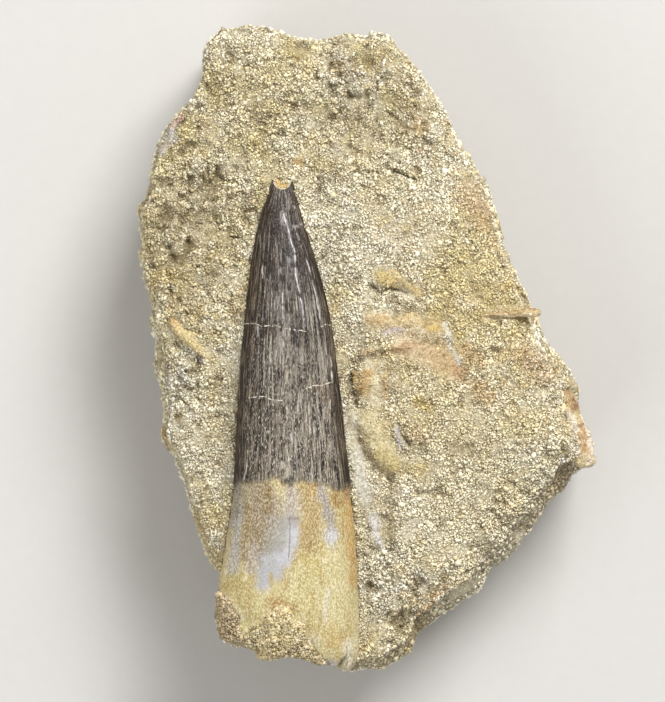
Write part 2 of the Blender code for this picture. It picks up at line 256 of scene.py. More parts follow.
ROOT_MARKS = (
    (1.9, "#917f65", 0.9, ((-11.5, -14.6), (-11.3, -17.9), (-11.6, -20.8))),
    (1.2, "#a29686", 0.85, ((-10.0, -16.3), (-10.1, -20.6), (-10.4, -23.0))),
    (0.95, "#8f897c", 0.95, ((-14.0, -13.8), (-13.8, -16.4), (-14.0, -18.0))),
    (0.65, "#b0aca6", 0.9, ((-13.8, -18.0), (-13.9, -20.6), (-14.3, -23.0))),
    (0.32, "#917843", 0.65, ((-12.8, -16.3), (-12.8, -19.0), (-13.1, -20.3), (-13.2, -21.8))),
    (0.7, "#8c713c", 0.75, ((-10.7, -14.8), (-10.6, -16.4))),
    (0.55, "#8f7847", 0.5, ((-11.0, -17.9), (-11.3, -20.2))),
    (1.0, "#b5aba2", 0.95, ((-7.9, -14.9), (-8.0, -17.9))),
    (1.6, "#a19e97", 0.95, ((-8.7, -18.6), (-9.4, -20.9), (-10.2, -22.4))),
    (0.8, "#b6b5b9", 0.95, ((-10.7, -22.0), (-11.1, -24.4))),
    (0.6, "#b6b5b9", 0.95, ((-9.4, -21.4), (-9.6, -23.6))),
    (0.7, "#b5a99d", 0.8, ((-12.2, -20.9), (-12.3, -22.8))),
    (0.75, "#c0c0c6", 0.95, ((-7.7, -18.5), (-8.0, -20.3), (-8.7, -21.8))),
    (0.4, "#a0979a", 0.7, ((-7.7, -17.6), (-7.7, -18.1))),
    (0.22, "#b9a16a", 0.8, ((-10.2, -23.3), (-10.3, -24.4))),
    (1.15, "#ab9058", 0.9, ((-6.1, -14.1), (-6.0, -17.5), (-6.3, -20.6))),
    (0.5, "#b99a52", 0.7, ((-5.7, -14.0), (-5.8, -14.7))),
    (0.9, "#c6b46a", 0.6, ((-6.6, -21.6), (-5.7, -22.4))),
    (0.6, "#a39c97", 0.95, ((-5.0, -14.5), (-4.3, -16.3), (-4.0, -18.3), (-3.9, -19.6))),
    (0.6, "#cfcfd6", 0.95, ((-3.9, -19.2), (-3.9, -20.2))),
    (0.6, "#a07c34", 0.9, ((-3.4, -15.1), (-3.2, -16.0))),
    (0.55, "#997035", 0.9, ((-2.2, -14.8), (-2.1, -15.8))),
    (0.6, "#c39a4a", 0.85, ((-2.0, -16.0), (-1.8, -19.6), (-1.6, -22.0), (-1.5, -24.6))),
    (0.2, "#a37e49", 0.5, ((-2.9, -17.2), (-2.7, -18.1), (-2.9, -19.2))),
    (1.4, "#dcd3a1", 0.6, ((-3.5, -21.6), (-3.0, -28.4))),
    (0.4, "#e3ddc2", 0.85, ((-4.3, -25.2), (-4.6, -27.3), (-4.5, -28.4))),
    (0.6, "#ddd6b6", 0.7, ((-5.6, -30.3), (-5.6, -30.8))),
    (0.9, "#cfae5c", 0.4, ((-3.9, -29.3), (-3.3, -30.6))),
    (0.7, "#b08c4c", 0.75, ((-9.8, -26.5), (-8.1, -27.0))),
    (1.1, "#bfa75f", 0.6, ((-14.5, -24.6), (-13.8, -25.6))),
    (0.5, "#efe8d2", 0.9, ((-2.0, -30.9), (-2.1, -32.2), (-2.0, -33.6))),
    (0.1, "#8a744c", 0.8, ((-2.1, -31.4), (-2.3, -33.6))),
    (0.1, "#a89468", 0.8, ((-1.7, -32.2), (-1.8, -33.6))),
    # painted shadow of a small hole in the root's broken end
    (0.22, "#3d3222", 0.95, ((-2.5, -32.3), (-2.9, -33.2))),
    (0.5, "#d9d4da", 0.9, ((-4.6, -33.1), (-3.7, -33.4))),
    (0.2, "#d5caac", 0.7, ((-15.6, -25.3), (-14.5, -26.6), (-13.5, -28.1))),
)
ROOT_LINES = (
    (0.055, "#6b6259", 0.75, ((-8.25, -17.4), (-8.2, -19.0), (-8.35, -21.6))),
    (0.06, "#7a6e63", 0.6, ((-9.1, -17.6), (-7.3, -17.5))),
    (0.07, "#8a7c6c", 0.7, ((-11.1, -22.1), (-10.3, -22.2))),
)

# The bleached patch of the root, which is smoother than the rest: half width and route
BLEACHED = (1.6, ((-8.0, -18.2), (-9.2, -20.9), (-10.6, -24.0)))

# The other pieces: x, y, z, half width and half depth along each
ROOT_FILL = np.array((
    (-8.8, -26.6, 24.4, 0.6, 0.7),
    (-9.2, -28.4, 23.3, 2.0, 1.7),
    (-9.0, -30.4, 22.1, 2.9, 2.2),
    (-8.6, -32.2, 21.2, 3.2, 2.4),
))
BONE_PIECES = {
    "bone_sliver": np.array((
        (12.2, 3.8, 19.6, 0.18, 0.9), (15.2, 3.95, 19.5, 0.3, 1.0), (18.4, 4.1, 19.1, 0.42, 1.0),
    )),
    "corner_bone": np.array((
        (21.1, -4.2, 17.6, 0.6, 1.3), (21.7, -6.6, 17.4, 1.0, 1.7), (22.3, -9.2, 17.2, 1.25, 1.9),
        (23.0, -11.2, 17.2, 1.15, 1.7), (23.1, -12.5, 17.3, 1.05, 1.5),
    )),
    "bone_knob": np.array((
        (0.0, -0.9, 20.1, 0.9, 0.9), (0.3, -3.0, 20.0, 1.8, 1.5), (0.7, -5.3, 20.0, 0.9, 1.0),
    )),
    "bone_splinter": np.array((
        (-0.9, -7.0, 20.1, 0.5, 0.9), (0.2, -8.9, 20.1, 1.25, 1.3), (1.3, -11.0, 20.0, 1.2, 1.3),
        (2.6, -12.8, 19.9, 0.5, 0.9),
    )),
    "bone_flake": np.array((
        (-20.9, 3.4, 19.7, 0.35, 0.8), (-18.9, 1.4, 19.9, 0.8, 0.9), (-16.6, -0.8, 19.9, 0.4, 0.8),
    )),
    "bone_chip": np.array((
        (0.8, 7.2, 19.8, 0.6, 0.9), (2.1, 7.9, 20.0, 1.1, 1.2), (3.7, 7.1, 19.9, 0.6, 1.0),
        (5.4, 5.7, 19.7, 0.3, 0.8),
    )),
    "bone_scrap": np.array((
        (1.9, 2.2, 19.8, 0.5, 0.8), (3.8, 2.9, 19.9, 0.9, 1.1), (5.9, 3.3, 19.8, 1.0, 1.1),
        (7.6, 2.9, 19.7, 0.4, 0.8),
    )),
}

# The filling's grains: how many show, and how far along y all of them do
FILLING_GRAINS, FILLING_END = 1400, -32.0

# How far each bone's surface lies under its solid's, and the share of it that sand covers
BONE_COVER = {
    "bone_sliver": (0.0, 0.06),
    "corner_bone": (0.3, 0.2),
    "bone_knob": (0.5, 0.35),
    "bone_splinter": (0.5, 0.35),
    "bone_flake": (0.4, 0.9),
    "bone_chip": (0.5, 0.7),
    "bone_scrap": (0.4, 0.7),
}

# Marks on the face of the rock and on the bone in it; some dark ones are painted shade in grooves, hollows
# and under ridges, and one is a painted shadow
FACE_MARKS = (
    (0.75, "#dfd09a", 0.7, ((-21.0, 3.4), (-18.9, 1.4), (-16.6, -0.8))),
    (0.5, "#c99f62", 0.5, ((-20.9, 3.3), (-20.3, 2.9))),
    (0.45, "#bdb0b4", 0.9, ((-21.4, -1.9), (-21.3, -1.5))),
    (0.35, "#c4b9bd", 0.9, ((-17.9, -1.0), (-17.7, -1.0))),
    (0.3, "#ece9e2", 0.9, ((-21.3, 1.8), (-21.2, 1.8))),
    (0.4, "#e9e7df", 0.9, ((-14.6, 2.1), (-14.4, 2.1))),
    (0.3, "#965c2b", 0.8, ((-22.1, -3.0), (-22.0, -3.0))),
    (0.55, "#d9d1ca", 0.9, ((-22.0, 21.0), (-21.4, 22.4), (-20.6, 24.3))),
    (0.45, "#c9a59a", 0.8, ((-20.9, 24.2), (-19.9, 24.9))),
    (0.5, "#dad9d6", 0.9, ((-20.8, 22.8), (-20.6, 22.6))),
    (0.6, "#e5e0cf", 0.8, ((-1.9, 8.6), (-1.7, 8.3))),
    (0.6, "#e6e3d9", 0.8, ((-3.8, 31.1), (-3.0, 31.0))),
    (0.5, "#e0dcd0", 0.8, ((-1.1, 29.3), (-0.3, 29.2))),
    (0.22, "#ece8dc", 0.9, ((1.9, 30.9), (1.5, 28.3))),
    (1.0, "#d3bf7a", 0.5, ((2.0, 27.0), (2.8, 26.7))),
    (0.8, "#cf9e5f", 0.4, ((5.2, 24.3), (5.8, 24.0))),
    # painted shade in the hollow and groove near the top edge
    (0.9, "#7d6944", 0.5, ((-1.7, 24.3), (-0.2, 23.4), (1.0, 22.6))),
    (0.4, "#c9a296", 0.6, ((5.5, 21.1), (5.9, 21.1))),
    (0.4, "#d8c678", 0.6, ((-1.1, 20.0), (-0.9, 20.0))),
    (0.5, "#cda454", 0.9, ((-7.5, 20.0), (-7.3, 19.7))),
    (0.6, "#d8c27a", 0.5, ((1.3, 13.8), (1.7, 13.8))),
    (0.6, "#d8c27a", 0.5, ((3.8, 13.2), (4.2, 13.0))),
    (1.8, "#cda48a", 0.45, ((10.9, 16.6), (12.2, 14.6))),
    (0.9, "#c9a46f", 0.4, ((12.8, 13.0), (13.2, 11.0))),
    (0.9, "#cfbd7c", 0.75, ((1.2, 8.2), (1.7, 7.2))),
    (0.6, "#cbb274", 0.8, ((2.8, 7.6), (4.0, 7.2), (5.4, 5.8))),
    # painted shadow in the undercut below the bone chip
    (0.13, "#5c4e33", 0.7, ((0.2, 7.0), (0.8, 6.4), (1.7, 6.6), (2.6, 6.8), (3.2, 7.0))),
    (0.5, "#776a4a", 0.6, ((2.5, 5.3), (4.4, 4.4))),
    (0.5, "#cfc7cf", 0.95, ((2.1, 2.3), (3.2, 2.2))),
    (0.9, "#d9bf88", 0.7, ((0.6, 3.2), (3.8, 3.1), (5.4, 3.2), (7.4, 2.6))),
    (0.25, "#dcbb6a", 0.8, ((6.2, 2.4), (7.6, 2.3))),
    (0.5, "#cfa972", 0.55, ((0.2, 3.5), (1.8, 3.6))),
    (0.16, "#c9a274", 0.7, ((-0.7, -0.2), (1.9, 0.1), (4.0, 0.4), (5.4, 0.6))),
    # painted shadow beneath the thin ridge
    (0.14, "#6f5a3a", 0.8, ((-0.3, -0.6), (1.9, -0.3), (4.0, 0.1))),
    (1.5, "#ceab86", 0.6, ((4.2, 0.6), (7.0, -0.2), (9.0, -1.6))),
    (0.35, "#f0ece0", 0.95, ((8.0, 2.9), (8.8, 1.4), (9.1, 0.0), (9.6, -1.1))),
    (0.8, "#bd9066", 0.65, ((9.4, -2.2), (10.1, -2.8))),
    (1.0, "#c9a062", 0.55, ((11.8, -4.0), (12.8, -4.8))),
    (0.8, "#d0a262", 0.5, ((10.4, 0.2), (11.8, -1.0))),
    (0.8, "#c3a062", 0.7, ((-0.6, -2.8), (-0.5, -4.4))),
    (0.35, "#ddd4b2", 0.95, ((1.5, -1.0), (0.9, -2.8), (0.7, -5.2))),
    (0.6, "#c4a266", 0.65, ((1.8, -3.2), (2.0, -4.6))),
    # painted shade in the groove left of the bone knob
    (0.4, "#54462e", 0.75, ((-1.9, -2.4), (-1.9, -3.8), (-1.3, -5.2))),
    (0.6, "#d8be68", 0.7, ((5.2, -5.4), (6.2, -5.8))),
    (0.35, "#e3d8b6", 0.7, ((4.3, -5.8), (4.1, -6.4))),
    (1.2, "#e3d6a8", 0.85, ((-0.1, -7.2), (0.9, -9.4), (2.2, -11.4))),
    (0.9, "#dccb92", 0.8, ((1.4, -11.0), (2.6, -12.0))),
    (0.8, "#f0efe8", 0.75, ((-2.2, -5.5), (-1.3, -11.0), (-0.4, -15.5))),
    (0.9, "#d6c283", 0.65, ((2.8, -12.4), (5.8, -12.4))),
    (0.25, "#d3cdd2", 0.95, ((3.0, -8.0), (3.4, -9.3), (3.8, -10.3))),
    # painted shade in the narrow groove beside the pale ridge
    (0.16, "#5f5035", 0.85, ((3.4, -7.6), (3.9, -9.0), (4.4, -9.9))),
    # painted shade along the groove left of the splinter
    (0.45, "#8f7f5c", 0.65, ((-0.8, -8.7), (-0.1, -10.6), (1.1, -12.2), (2.5, -13.0), (2.4, -20.5))),
    (0.8, "#c39466", 0.35, ((4.9, -8.8), (5.6, -9.2))),
    (0.15, "#a57c48", 0.75, ((12.5, 4.0), (15.2, 4.25), (17.6, 4.45), (18.2, 4.3))),
    (0.2, "#ecdcb8", 0.8, ((12.4, 3.65), (15.2, 3.7), (18.1, 3.75))),
    # painted shadow: ochre patch below the sliver's end, where its shadow falls
    (0.4, "#c4964b", 0.8, ((17.4, 3.2), (18.2, 3.2))),
    (0.6, "#d6be88", 0.5, ((13.6, -0.9), (15.4, -0.3))),
    (1.4, "#c4905e", 0.4, ((16.8, -0.4), (19.0, -2.6))),
    (0.6, "#e3dcc6", 0.6, ((19.0, -5.5), (20.0, -5.5))),
    (0.7, "#e0dac6", 0.5, ((14.6, -10.0), (15.8, -10.0))),
    (0.45, "#e8e5df", 0.9, ((20.8, -11.5), (21.0, -11.5))),
    (0.55, "#a98356", 0.75, ((21.4, -4.4), (21.9, -6.0))),
    (0.55, "#bb976a", 0.7, ((22.3, -8.0), (23.0, -9.6), (23.4, -11.2))),
    (0.28, "#7d5228", 0.7, ((21.8, -5.2), (22.0, -6.1))),
    (0.25, "#efe4d6", 0.9, ((22.7, -3.8), (22.9, -5.6), (22.6, -6.8), (23.6, -9.2), (24.2, -11.0),
                            (22.6, -13.0))),
    (0.35, "#e8e0cf", 0.9, ((21.2, -6.4), (22.0, -8.6), (22.4, -11.0))),
    (0.8, "#ddceb0", 0.8, ((23.6, -11.4), (24.2, -11.6))),
    (1.1, "#857c67", 0.5, ((12.2, -20.7), (12.8, -21.1))),
    (0.9, "#857c67", 0.5, ((15.7, -18.1), (15.9, -18.9))),
    (0.4, "#c4914a", 0.8, ((20.9, -14.0), (21.1, -14.0))),
    (0.4, "#c4934a", 0.7, ((7.2, -25.7), (6.5, -27.7))),
    (0.4, "#9c6c3a", 0.7, ((8.1, -25.4), (8.3, -25.4))),
    (0.5, "#c69a52", 0.6, ((5.6, -28.2), (5.6, -28.6))),
    (0.5, "#e6e0d1", 0.7, ((3.2, -25.3), (3.4, -25.3))),
    (0.6, "#f0eff0", 0.9, ((0.4, -17.6), (1.2, -20.4))),
    (0.6, "#dccd94", 0.6, ((4.4, -30.7), (4.8, -30.7))),
    (0.7, "#dedac8", 0.7, ((-1.8, -10.4), (-1.2, -13.8), (-0.2, -16.4))),
    (0.4, "#cbb98c", 0.5, ((-3.0, 1.0), (-1.9, -7.0), (-1.5, -10.0))),
    (0.8, "#d9d4c0", 0.55, ((-13.9, 2.0), (-14.8, -6.0), (-15.4, -13.0))),
    (0.7, "#cfc6ae", 0.5, ((-0.4, -17.0), (0.2, -24.0))),
)

# Places where the rock is fine, with few and small grains on it
SMOOTH_SPOTS = (
    (0.55, ((-22.0, 21.0), (-21.4, 22.4), (-20.6, 24.3))),
    (0.4, ((2.1, 2.3), (3.2, 2.2))),
    (0.3, ((1.5, -1.0), (0.9, -2.8), (0.7, -5.2))),
    (1.4, ((-0.2, -7.4), (0.9, -9.8), (2.4, -11.8))),
    (1.2, ((0.3, -1.6), (0.6, -5.0))),
    (1.2, ((0.4, 3.2), (3.0, 3.3), (7.0, 2.6))),
    (1.6, ((4.0, 0.6), (6.4, -0.2), (8.6, -1.4))),
    (0.4, ((8.0, 2.9), (8.8, 1.4), (9.6, -1.1))),
    (0.9, ((1.2, 8.0), (3.0, 7.4), (5.0, 6.0))),
    (0.8, ((-1.8, -7.0), (-1.1, -12.0), (-0.2, -16.0))),
    (0.25, ((3.0, -8.0), (3.4, -9.3), (3.8, -10.3))),
    (0.5, ((-20.6, 3.0), (-18.9, 1.4), (-16.9, -0.5))),
    (0.6, ((0.4, -17.6), (1.3, -20.6))),
    (0.5, ((17.0, 3.7), (12.4, 3.7))),
)

# Broad tones of the face: place, radius, colour and strength
FACE_TONES = (
    (-19.0, 12.0, 7.0, "#b9ab80", 0.6),
    (-14.0, 27.0, 8.0, "#cfc294", 0.4),
    (-2.0, 24.0, 6.0, "#b5a985", 0.3),
    (1.0, 13.0, 8.0, "#f4efdc", 0.6),
    (-4.0, 10.0, 3.0, "#eeebe2", 0.5),
    (-2.0, 1.0, 2.4, "#e8e4d8", 0.5),
    (-14.6, -3.0, 2.2, "#eae5d6", 0.4),
    (9.0, -15.0, 9.0, "#f6efd6", 0.8),
    (12.0, 4.0, 8.0, "#dfcb8e", 0.5),
    (12.0, -8.0, 6.0, "#d9c98f", 0.25),
    (4.0, -3.0, 6.0, "#d3c08a", 0.4),
    (-18.0, -10.0, 5.0, "#cbc3ab", 0.4),
    (-0.8, -14.0, 2.6, "#f0ede4", 0.5),
    (1.5, -27.0, 3.4, "#dedbd0", 0.5),
)

# The same for the sides: pale patches of painted light that brighten the sloping lower right side, the corner
# under the bone and the bottom edge, which face away from the lamps
SIDE_PAINTED_LIGHT = (
    (23.4, -12.2, 1.8, "#f5ecd8", 0.9),
    (2.2, -33.8, 3.2, "#f0e6c4", 0.85),
    (14.0, -22.0, 9.0, "#faf2d8", 0.9),
)

# How rough the face is, and places where it is rougher: place, radius and how much
COMMON_ROUGHNESS = 0.45
ROUGH_PLACES = (
    (-19.0, 14.0, 10.0, 0.7),
    (-9.0, 28.0, 9.0, 0.55),
    (1.0, 24.0, 6.0, 0.5),
    (-20.0, -5.0, 6.0, 0.4),
    (2.0, -28.0, 6.0, 0.6),
    (19.0, -12.0, 6.0, 0.2),
    (14.0, -20.0, 5.0, 0.35),
)

# Sockets of a Mix node that mixes colours: its factor, its two colours and its result, and its settings
FACTOR, UNDER, OVER, MIXED = 0, 6, 7, 2
COVERED = {"data_type": "RGBA"}
DARKENED = {"data_type": "RGBA", "blend_type": "MULTIPLY"}

# The tooth's patterns: fine lines and specks of the enamel, chalk of the root and breaks in the cracks,
# each with its width in millimetres, how far it is drawn out along the tooth, detail and roughness
TOOTH_PATTERNS = ((0.14, 9.0, 3.0, 0.75), (0.09, 4.0, 2.0, 0.6), (0.17, 1.6, 3.0, 0.75), (0.3, 1.0, 3.0, 0.6))


class RockSettings(bpy.types.PropertyGroup):
    face_relief: FloatProperty(
        name="Face relief", description="Height of the rock's own bumps under the sand grains",
        default=0.4 * MM, unit="LENGTH")
    side_relief: FloatProperty(
        name="Side relief", description="Depth of the broken sides' hollows",
        default=0.9 * MM, unit="LENGTH")
    grain_size: FloatProperty(
        name="Grain size", description="Width of a common sand grain",
        default=0.25 * MM, unit="LENGTH")
    face_pitch: FloatProperty(
        name="Grain spacing on the face", description="Distance between neighbouring grains on the face",
        default=0.203 * MM, unit="LENGTH")
    side_pitch: FloatProperty(
        name="Grain spacing on the sides", description="Distance between neighbouring grains on the sides",
        default=0.43 * MM, unit="LENGTH")
    # The cement's colour is partly its own and partly painted shade between the grains
    cement: FloatVectorProperty(
        name="Cement", description="Colour of the cement between the grains",
        default=(0.42, 0.345, 0.19), subtype="COLOR", min=0.0, max=1.0)
    seed: IntProperty(name="Seed", description="Changes where the grains lie", default=11)


class ToothSettings(bpy.types.PropertyGroup):
    ridges: IntProperty(
        name="Ridges", description="Number of fine ridges round the crown", default=88)
    ridge_height: FloatProperty(
        name="Ridge height", description="Height of the ridges above their grooves",
        default=0.075 * MM, unit="LENGTH")
    enamel_step: FloatProperty(
        name="Enamel step", description="Thickness of the enamel where it ends on the root",
        default=0.1 * MM, unit="LENGTH")
    roughness: FloatProperty(
        name="Enamel roughness", description="Roughness of the clean enamel",
        default=0.6, subtype="FACTOR", min=0.0, max=1.0)


class StageSettings(bpy.types.PropertyGroup):
    floor_size: FloatProperty(
        name="Floor size", description="Width of the pale floor", default=3.0, unit="LENGTH")
    key_power: FloatProperty(
        name="Key light", description="Power of the large light at the upper right",
        default=6.2, unit="POWER")
    fill_power: FloatProperty(
        name="Fill light", description="Power of the large light at the lower left",
        default=2.0, unit="POWER")
    sky_strength: FloatProperty(
        name="Room light", description="Strength of the even light from all round", default=0.42)


def linear(code):
    """Linear red, green and blue of an sRGB hex colour."""
    values = np.array([int(code[start:start + 2], 16) for start in (1, 3, 5)]) / 255.0
    return np.where(values <= 0.04045, values / 12.92, ((values + 0.055) / 1.055) ** 2.4)


def smooth_step(values, low, high):
    """0 below low, 1 above high, and 3t^2 - 2t^3 between."""
    part = np.clip((values - low) / (high - low), 0.0, 1.0)
    return part * part * (3.0 - 2.0 * part)


def flat_places(x, y):
    """Points with no height, for noise that depends on x and y alone."""
    return np.stack((x, y, np.zeros_like(x)), -1)


def lattice_value(cells, seed):
    """A fixed random value from 0 to 1 for each whole-number point, from mixed integer products."""
    x, y, z = (cells[..., axis].astype(np.int64) for axis in range(3))
    mixed = (x * 374761393 + y * 668265263 + z * 974634777 + seed * 144665) & 0xFFFFFFFF
    mixed = ((mixed ^ (mixed >> 13)) * 1274126177) & 0xFFFFFFFF
    return ((mixed ^ (mixed >> 16)) & 0xFFFF) / 65535.0


def noise(points, cell, seed=0):
    """Value noise from -1 to 1: lattice values blended over each cell by 3t^2 - 2t^3 along every axis."""
    spot = points / cell
    base = np.floor(spot)
    part = spot - base
    part = part * part * (3.0 - 2.0 * part)
    total = np.zeros(points.shape[:-1])
    for corner in itertools.product((0, 1), repeat=3):
        weight = np.prod(np.where(corner, part, 1.0 - part), axis=-1)
        total += weight * lattice_value(base + corner, seed)
    return 2.0 * total - 1.0


def fractal(points, cell, layers, seed=0):
    """Sum of layers of noise, each of half the size and about half the height of the one before."""
    total = np.zeros(points.shape[:-1])
    for layer in range(layers):
        total += noise(points, cell / 2.0 ** layer, seed + layer) * 0.55 ** layer
    return total


def flat_fractal(x, y, cell, layers, seed):
    """The same noise from x and y alone."""
    return fractal(flat_places(x, y), cell, layers, seed)


def facets(points, cell, seed):
    """Broken faces from -1 to 1: each point takes the height and slope of the nearest of scattered spots.

    There is one spot to a cell of the lattice, moved at random inside it. The value is a random height
    plus the dot product of a random slope with the way from the spot, so faces meet in steps.
    """
    base = np.floor(points / cell)
    nearest = np.full(points.shape[:-1], np.inf)
    height = np.zeros(points.shape[:-1])
    for step in itertools.product((-1, 0, 1), repeat=3):
        cells = base + step
        spot = np.stack([lattice_value(cells, seed + axis) for axis in range(3)], -1)
        slope = np.stack([lattice_value(cells, seed + 3 + axis) for axis in range(3)], -1) - 0.5
        offset = points / cell - cells - spot
        away = np.sum(offset ** 2, -1)
        value = lattice_value(cells, seed + 6) - 0.5 + 1.6 * np.sum(offset * slope, -1)
        height = np.where(away < nearest, value, height)
        nearest = np.minimum(nearest, away)
    return height


def line_distance(x, y, route):
    """Distance in the plane from each point to a route of straight runs."""
    nearest = np.full(x.shape, np.inf)
    for (start_x, start_y), (end_x, end_y) in zip(route, route[1:]):
        run_x, run_y = end_x - start_x, end_y - start_y
        part = np.clip(((x - start_x) * run_x + (y - start_y) * run_y) / (run_x ** 2 + run_y ** 2), 0.0, 1.0)
        nearest = np.minimum(nearest, np.hypot(x - start_x - part * run_x, y - start_y - part * run_y))
    return nearest


def near(x, y, place_x, place_y, radius):
    """How near each point is to a round place: exp(-d^2) of its distance in radii."""
    return np.exp(-((x - place_x) ** 2 + (y - place_y) ** 2) / radius ** 2)


def bumps(x, y, rows):
    """Sum of round bumps, each a height times how near the point is to its place."""
    return sum(height * near(x, y, *place) for *place, height in rows)


def stroke(x, y, route, half_width, power):
    """How near each point is to a route: exp(-d^power) of its distance in half widths."""
    return np.exp(-(line_distance(x, y, route) / half_width) ** power)


def depth_inside(x, y, outline):
    """Distance to a closed outline, above nought inside it and below nought outside."""
    loop = (*outline, outline[0])
    inside = np.zeros(x.shape, bool)
    for (start_x, start_y), (end_x, end_y) in zip(loop, loop[1:]):
        if start_y != end_y:
            crossing = start_x + (y - start_y) / (end_y - start_y) * (end_x - start_x)
            inside ^= ((y < start_y) != (y < end_y)) & (x < crossing)
    return np.where(inside, 1.0, -1.0) * line_distance(x, y, loop)


def curve_through(rows, steps, closed=False):
    """Catmull-Rom curve through rows of numbers: steps rows for each gap, and the last row if open."""
    if closed:
        before, after, beyond = np.roll(rows, 1, 0), np.roll(rows, -1, 0), np.roll(rows, -2, 0)
        start = rows
    else:
        padded = np.concatenate((rows[:1], rows, rows[-1:]))
        before, start, after, beyond = padded[:-3], padded[1:-2], padded[2:-1], padded[3:]
    part = (np.arange(steps) / steps)[:, None]
    before, start, after, beyond = (block[:, None, :] for block in (before, start, after, beyond))
    curve = 0.5 * (2.0 * start + (after - before) * part
                   + (2.0 * before - 5.0 * start + 4.0 * after - beyond) * part ** 2
                   + (3.0 * start - before - 3.0 * after + beyond) * part ** 3)
    curve = curve.reshape(-1, rows.shape[1])
    return curve if closed else np.concatenate((curve, rows[-1:]))


def fitted_outline():
    """Angle and radius along the smooth outline, stretched to the solid block's own width and length."""
    low, high = (np.array(corner)[:2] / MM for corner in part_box("matrix"))
    loop = curve_through(BLOCK_OUTLINE, 6, closed=True)
    middle, span = (loop.max(0) + loop.min(0)) / 2.0, loop.max(0) - loop.min(0)
    loop = (loop - middle) * (high - low) / span + (high + low) / 2.0
    angles = np.arctan2(loop[:, 1], loop[:, 0])
    order = np.argsort(angles)
    return angles[order], np.hypot(loop[:, 0], loop[:, 1])[order]


OUTLINE_ANGLES, OUTLINE_RADII = fitted_outline()
TOOTH_CURVE = curve_through(TOOTH_STATIONS, 12)


def widest_radius(angle):
    """Radius of the block's widest line at each angle, with the small bites of a broken edge."""
    radius = np.interp(angle, OUTLINE_ANGLES, OUTLINE_RADII, period=TURN)
    bites = flat_fractal(radius * np.cos(angle), radius * np.sin(angle), 1.5, 3, seed=5)
    return radius + EDGE_BITE * bites - EDGE_INSET


def lean(angle):
    """How far the rim stands inside the widest line: most on the sloping side, some at the left."""
    slope = np.maximum(0.0, np.cos(angle - SLOPING_SIDE)) ** 2
    left_step = np.maximum(0.0, np.cos(angle - LEFT_SIDE)) ** 8
    ripple = np.sin(5.0 * angle + 0.8) * np.cos(3.0 * angle)
    return RIM_LEAN + SLOPING_LEAN * slope + LEFT_LEAN * left_step + RIM_RIPPLE * ripple


def plain_face(x, y):
    """The face without its small relief: a plane with a low wave, swells, grooves and ridges."""
    height = FACE_LEVEL + WAVE_RISE * np.sin(x / WAVE_X + 1.0) * np.cos(y / WAVE_Y - 0.6)
    height = height + bumps(x, y, FACE_SWELLS)
    for half_width, rise, route in FACE_LINES:
        height = height + rise * stroke(x, y, route, half_width, 2)
    return height + COLLAR_HEIGHT * np.exp(-(tooth_gap(x, y) / COLLAR_REACH) ** 2)


def face_lift(x, y, settings):
    """The face's own relief: low swells, and crumbs of a millimetre with creases and pits between them."""
    place = flat_places(x, y)
    swells = 0.9 * fractal(place, 3.6, 2, seed=21)
    crumbs = 0.8 * facets(place, 1.15, seed=24) + 0.55 * fractal(place, 0.95, 2, seed=26)
    pits = smooth_step(fractal(place, 1.0, 2, seed=28), 0.3, 0.95)
    rough = COMMON_ROUGHNESS + bumps(x, y, ROUGH_PLACES)
    return (swells + crumbs - 1.2 * pits) * rough * settings.face_relief / MM


def side_push(place, reach, settings):
    """How far the side stands out: broken faces with ledges between them, and layers of finer noise."""
    push = 1.1 * facets(place * (1.0, 1.0, 1.3), 6.0, seed=31) + 0.6 * fractal(place, 8.0, 2, seed=39)
    push += 0.45 * facets(place, 2.6, seed=41) + 0.25 * fractal(place, 1.3, 3, seed=49)
    push = np.minimum(push, 0.25 + 0.2 * push) - 0.3
    push = push * settings.side_relief / MM * smooth_step(reach, 0.96, 1.14)
    push = push * (0.25 + 0.75 * smooth_step(np.abs(reach - 1.4), 0.05, 0.3))
    return push * (1.0 - 0.5 * smooth_step(reach, 1.9, 2.05))


def tooth_girth(along):
    """Place aside, axis height, half width and half depth of the tooth at a distance from its tip."""
    return [np.interp(along, TOOTH_CURVE[:, 0], TOOTH_CURVE[:, column]) for column in range(1, 5)]


def tooth_gap(x, y):
    """Distance in the plane from each place outside the tooth's widest line to that line."""
    along = TOOTH_TIP_Y - y
    aside, _, half_width, _ = tooth_girth(along)
    beside = np.maximum(0.0, np.abs(x - aside) - half_width)
    return np.hypot(beside, np.maximum(0.0, np.maximum(-along, along - TOOTH_LENGTH)))


def tooth_cover(x, y):
    """How high the tooth's upper side stands over each point of the face, or minus infinity beside it."""
    along = TOOTH_TIP_Y - y
    aside, axis, half_width, half_depth = tooth_girth(along)
    across = (x - aside) / half_width
    top = axis + half_depth * np.sqrt(np.clip(1.0 - across ** 2, 0.0, 1.0))
    covered = (np.abs(across) < 1.0) & (along > 0.0) & (along < TOOTH_LENGTH + ROOT_END_SLANT * (x - aside))
    return np.where(covered, top, -np.inf)


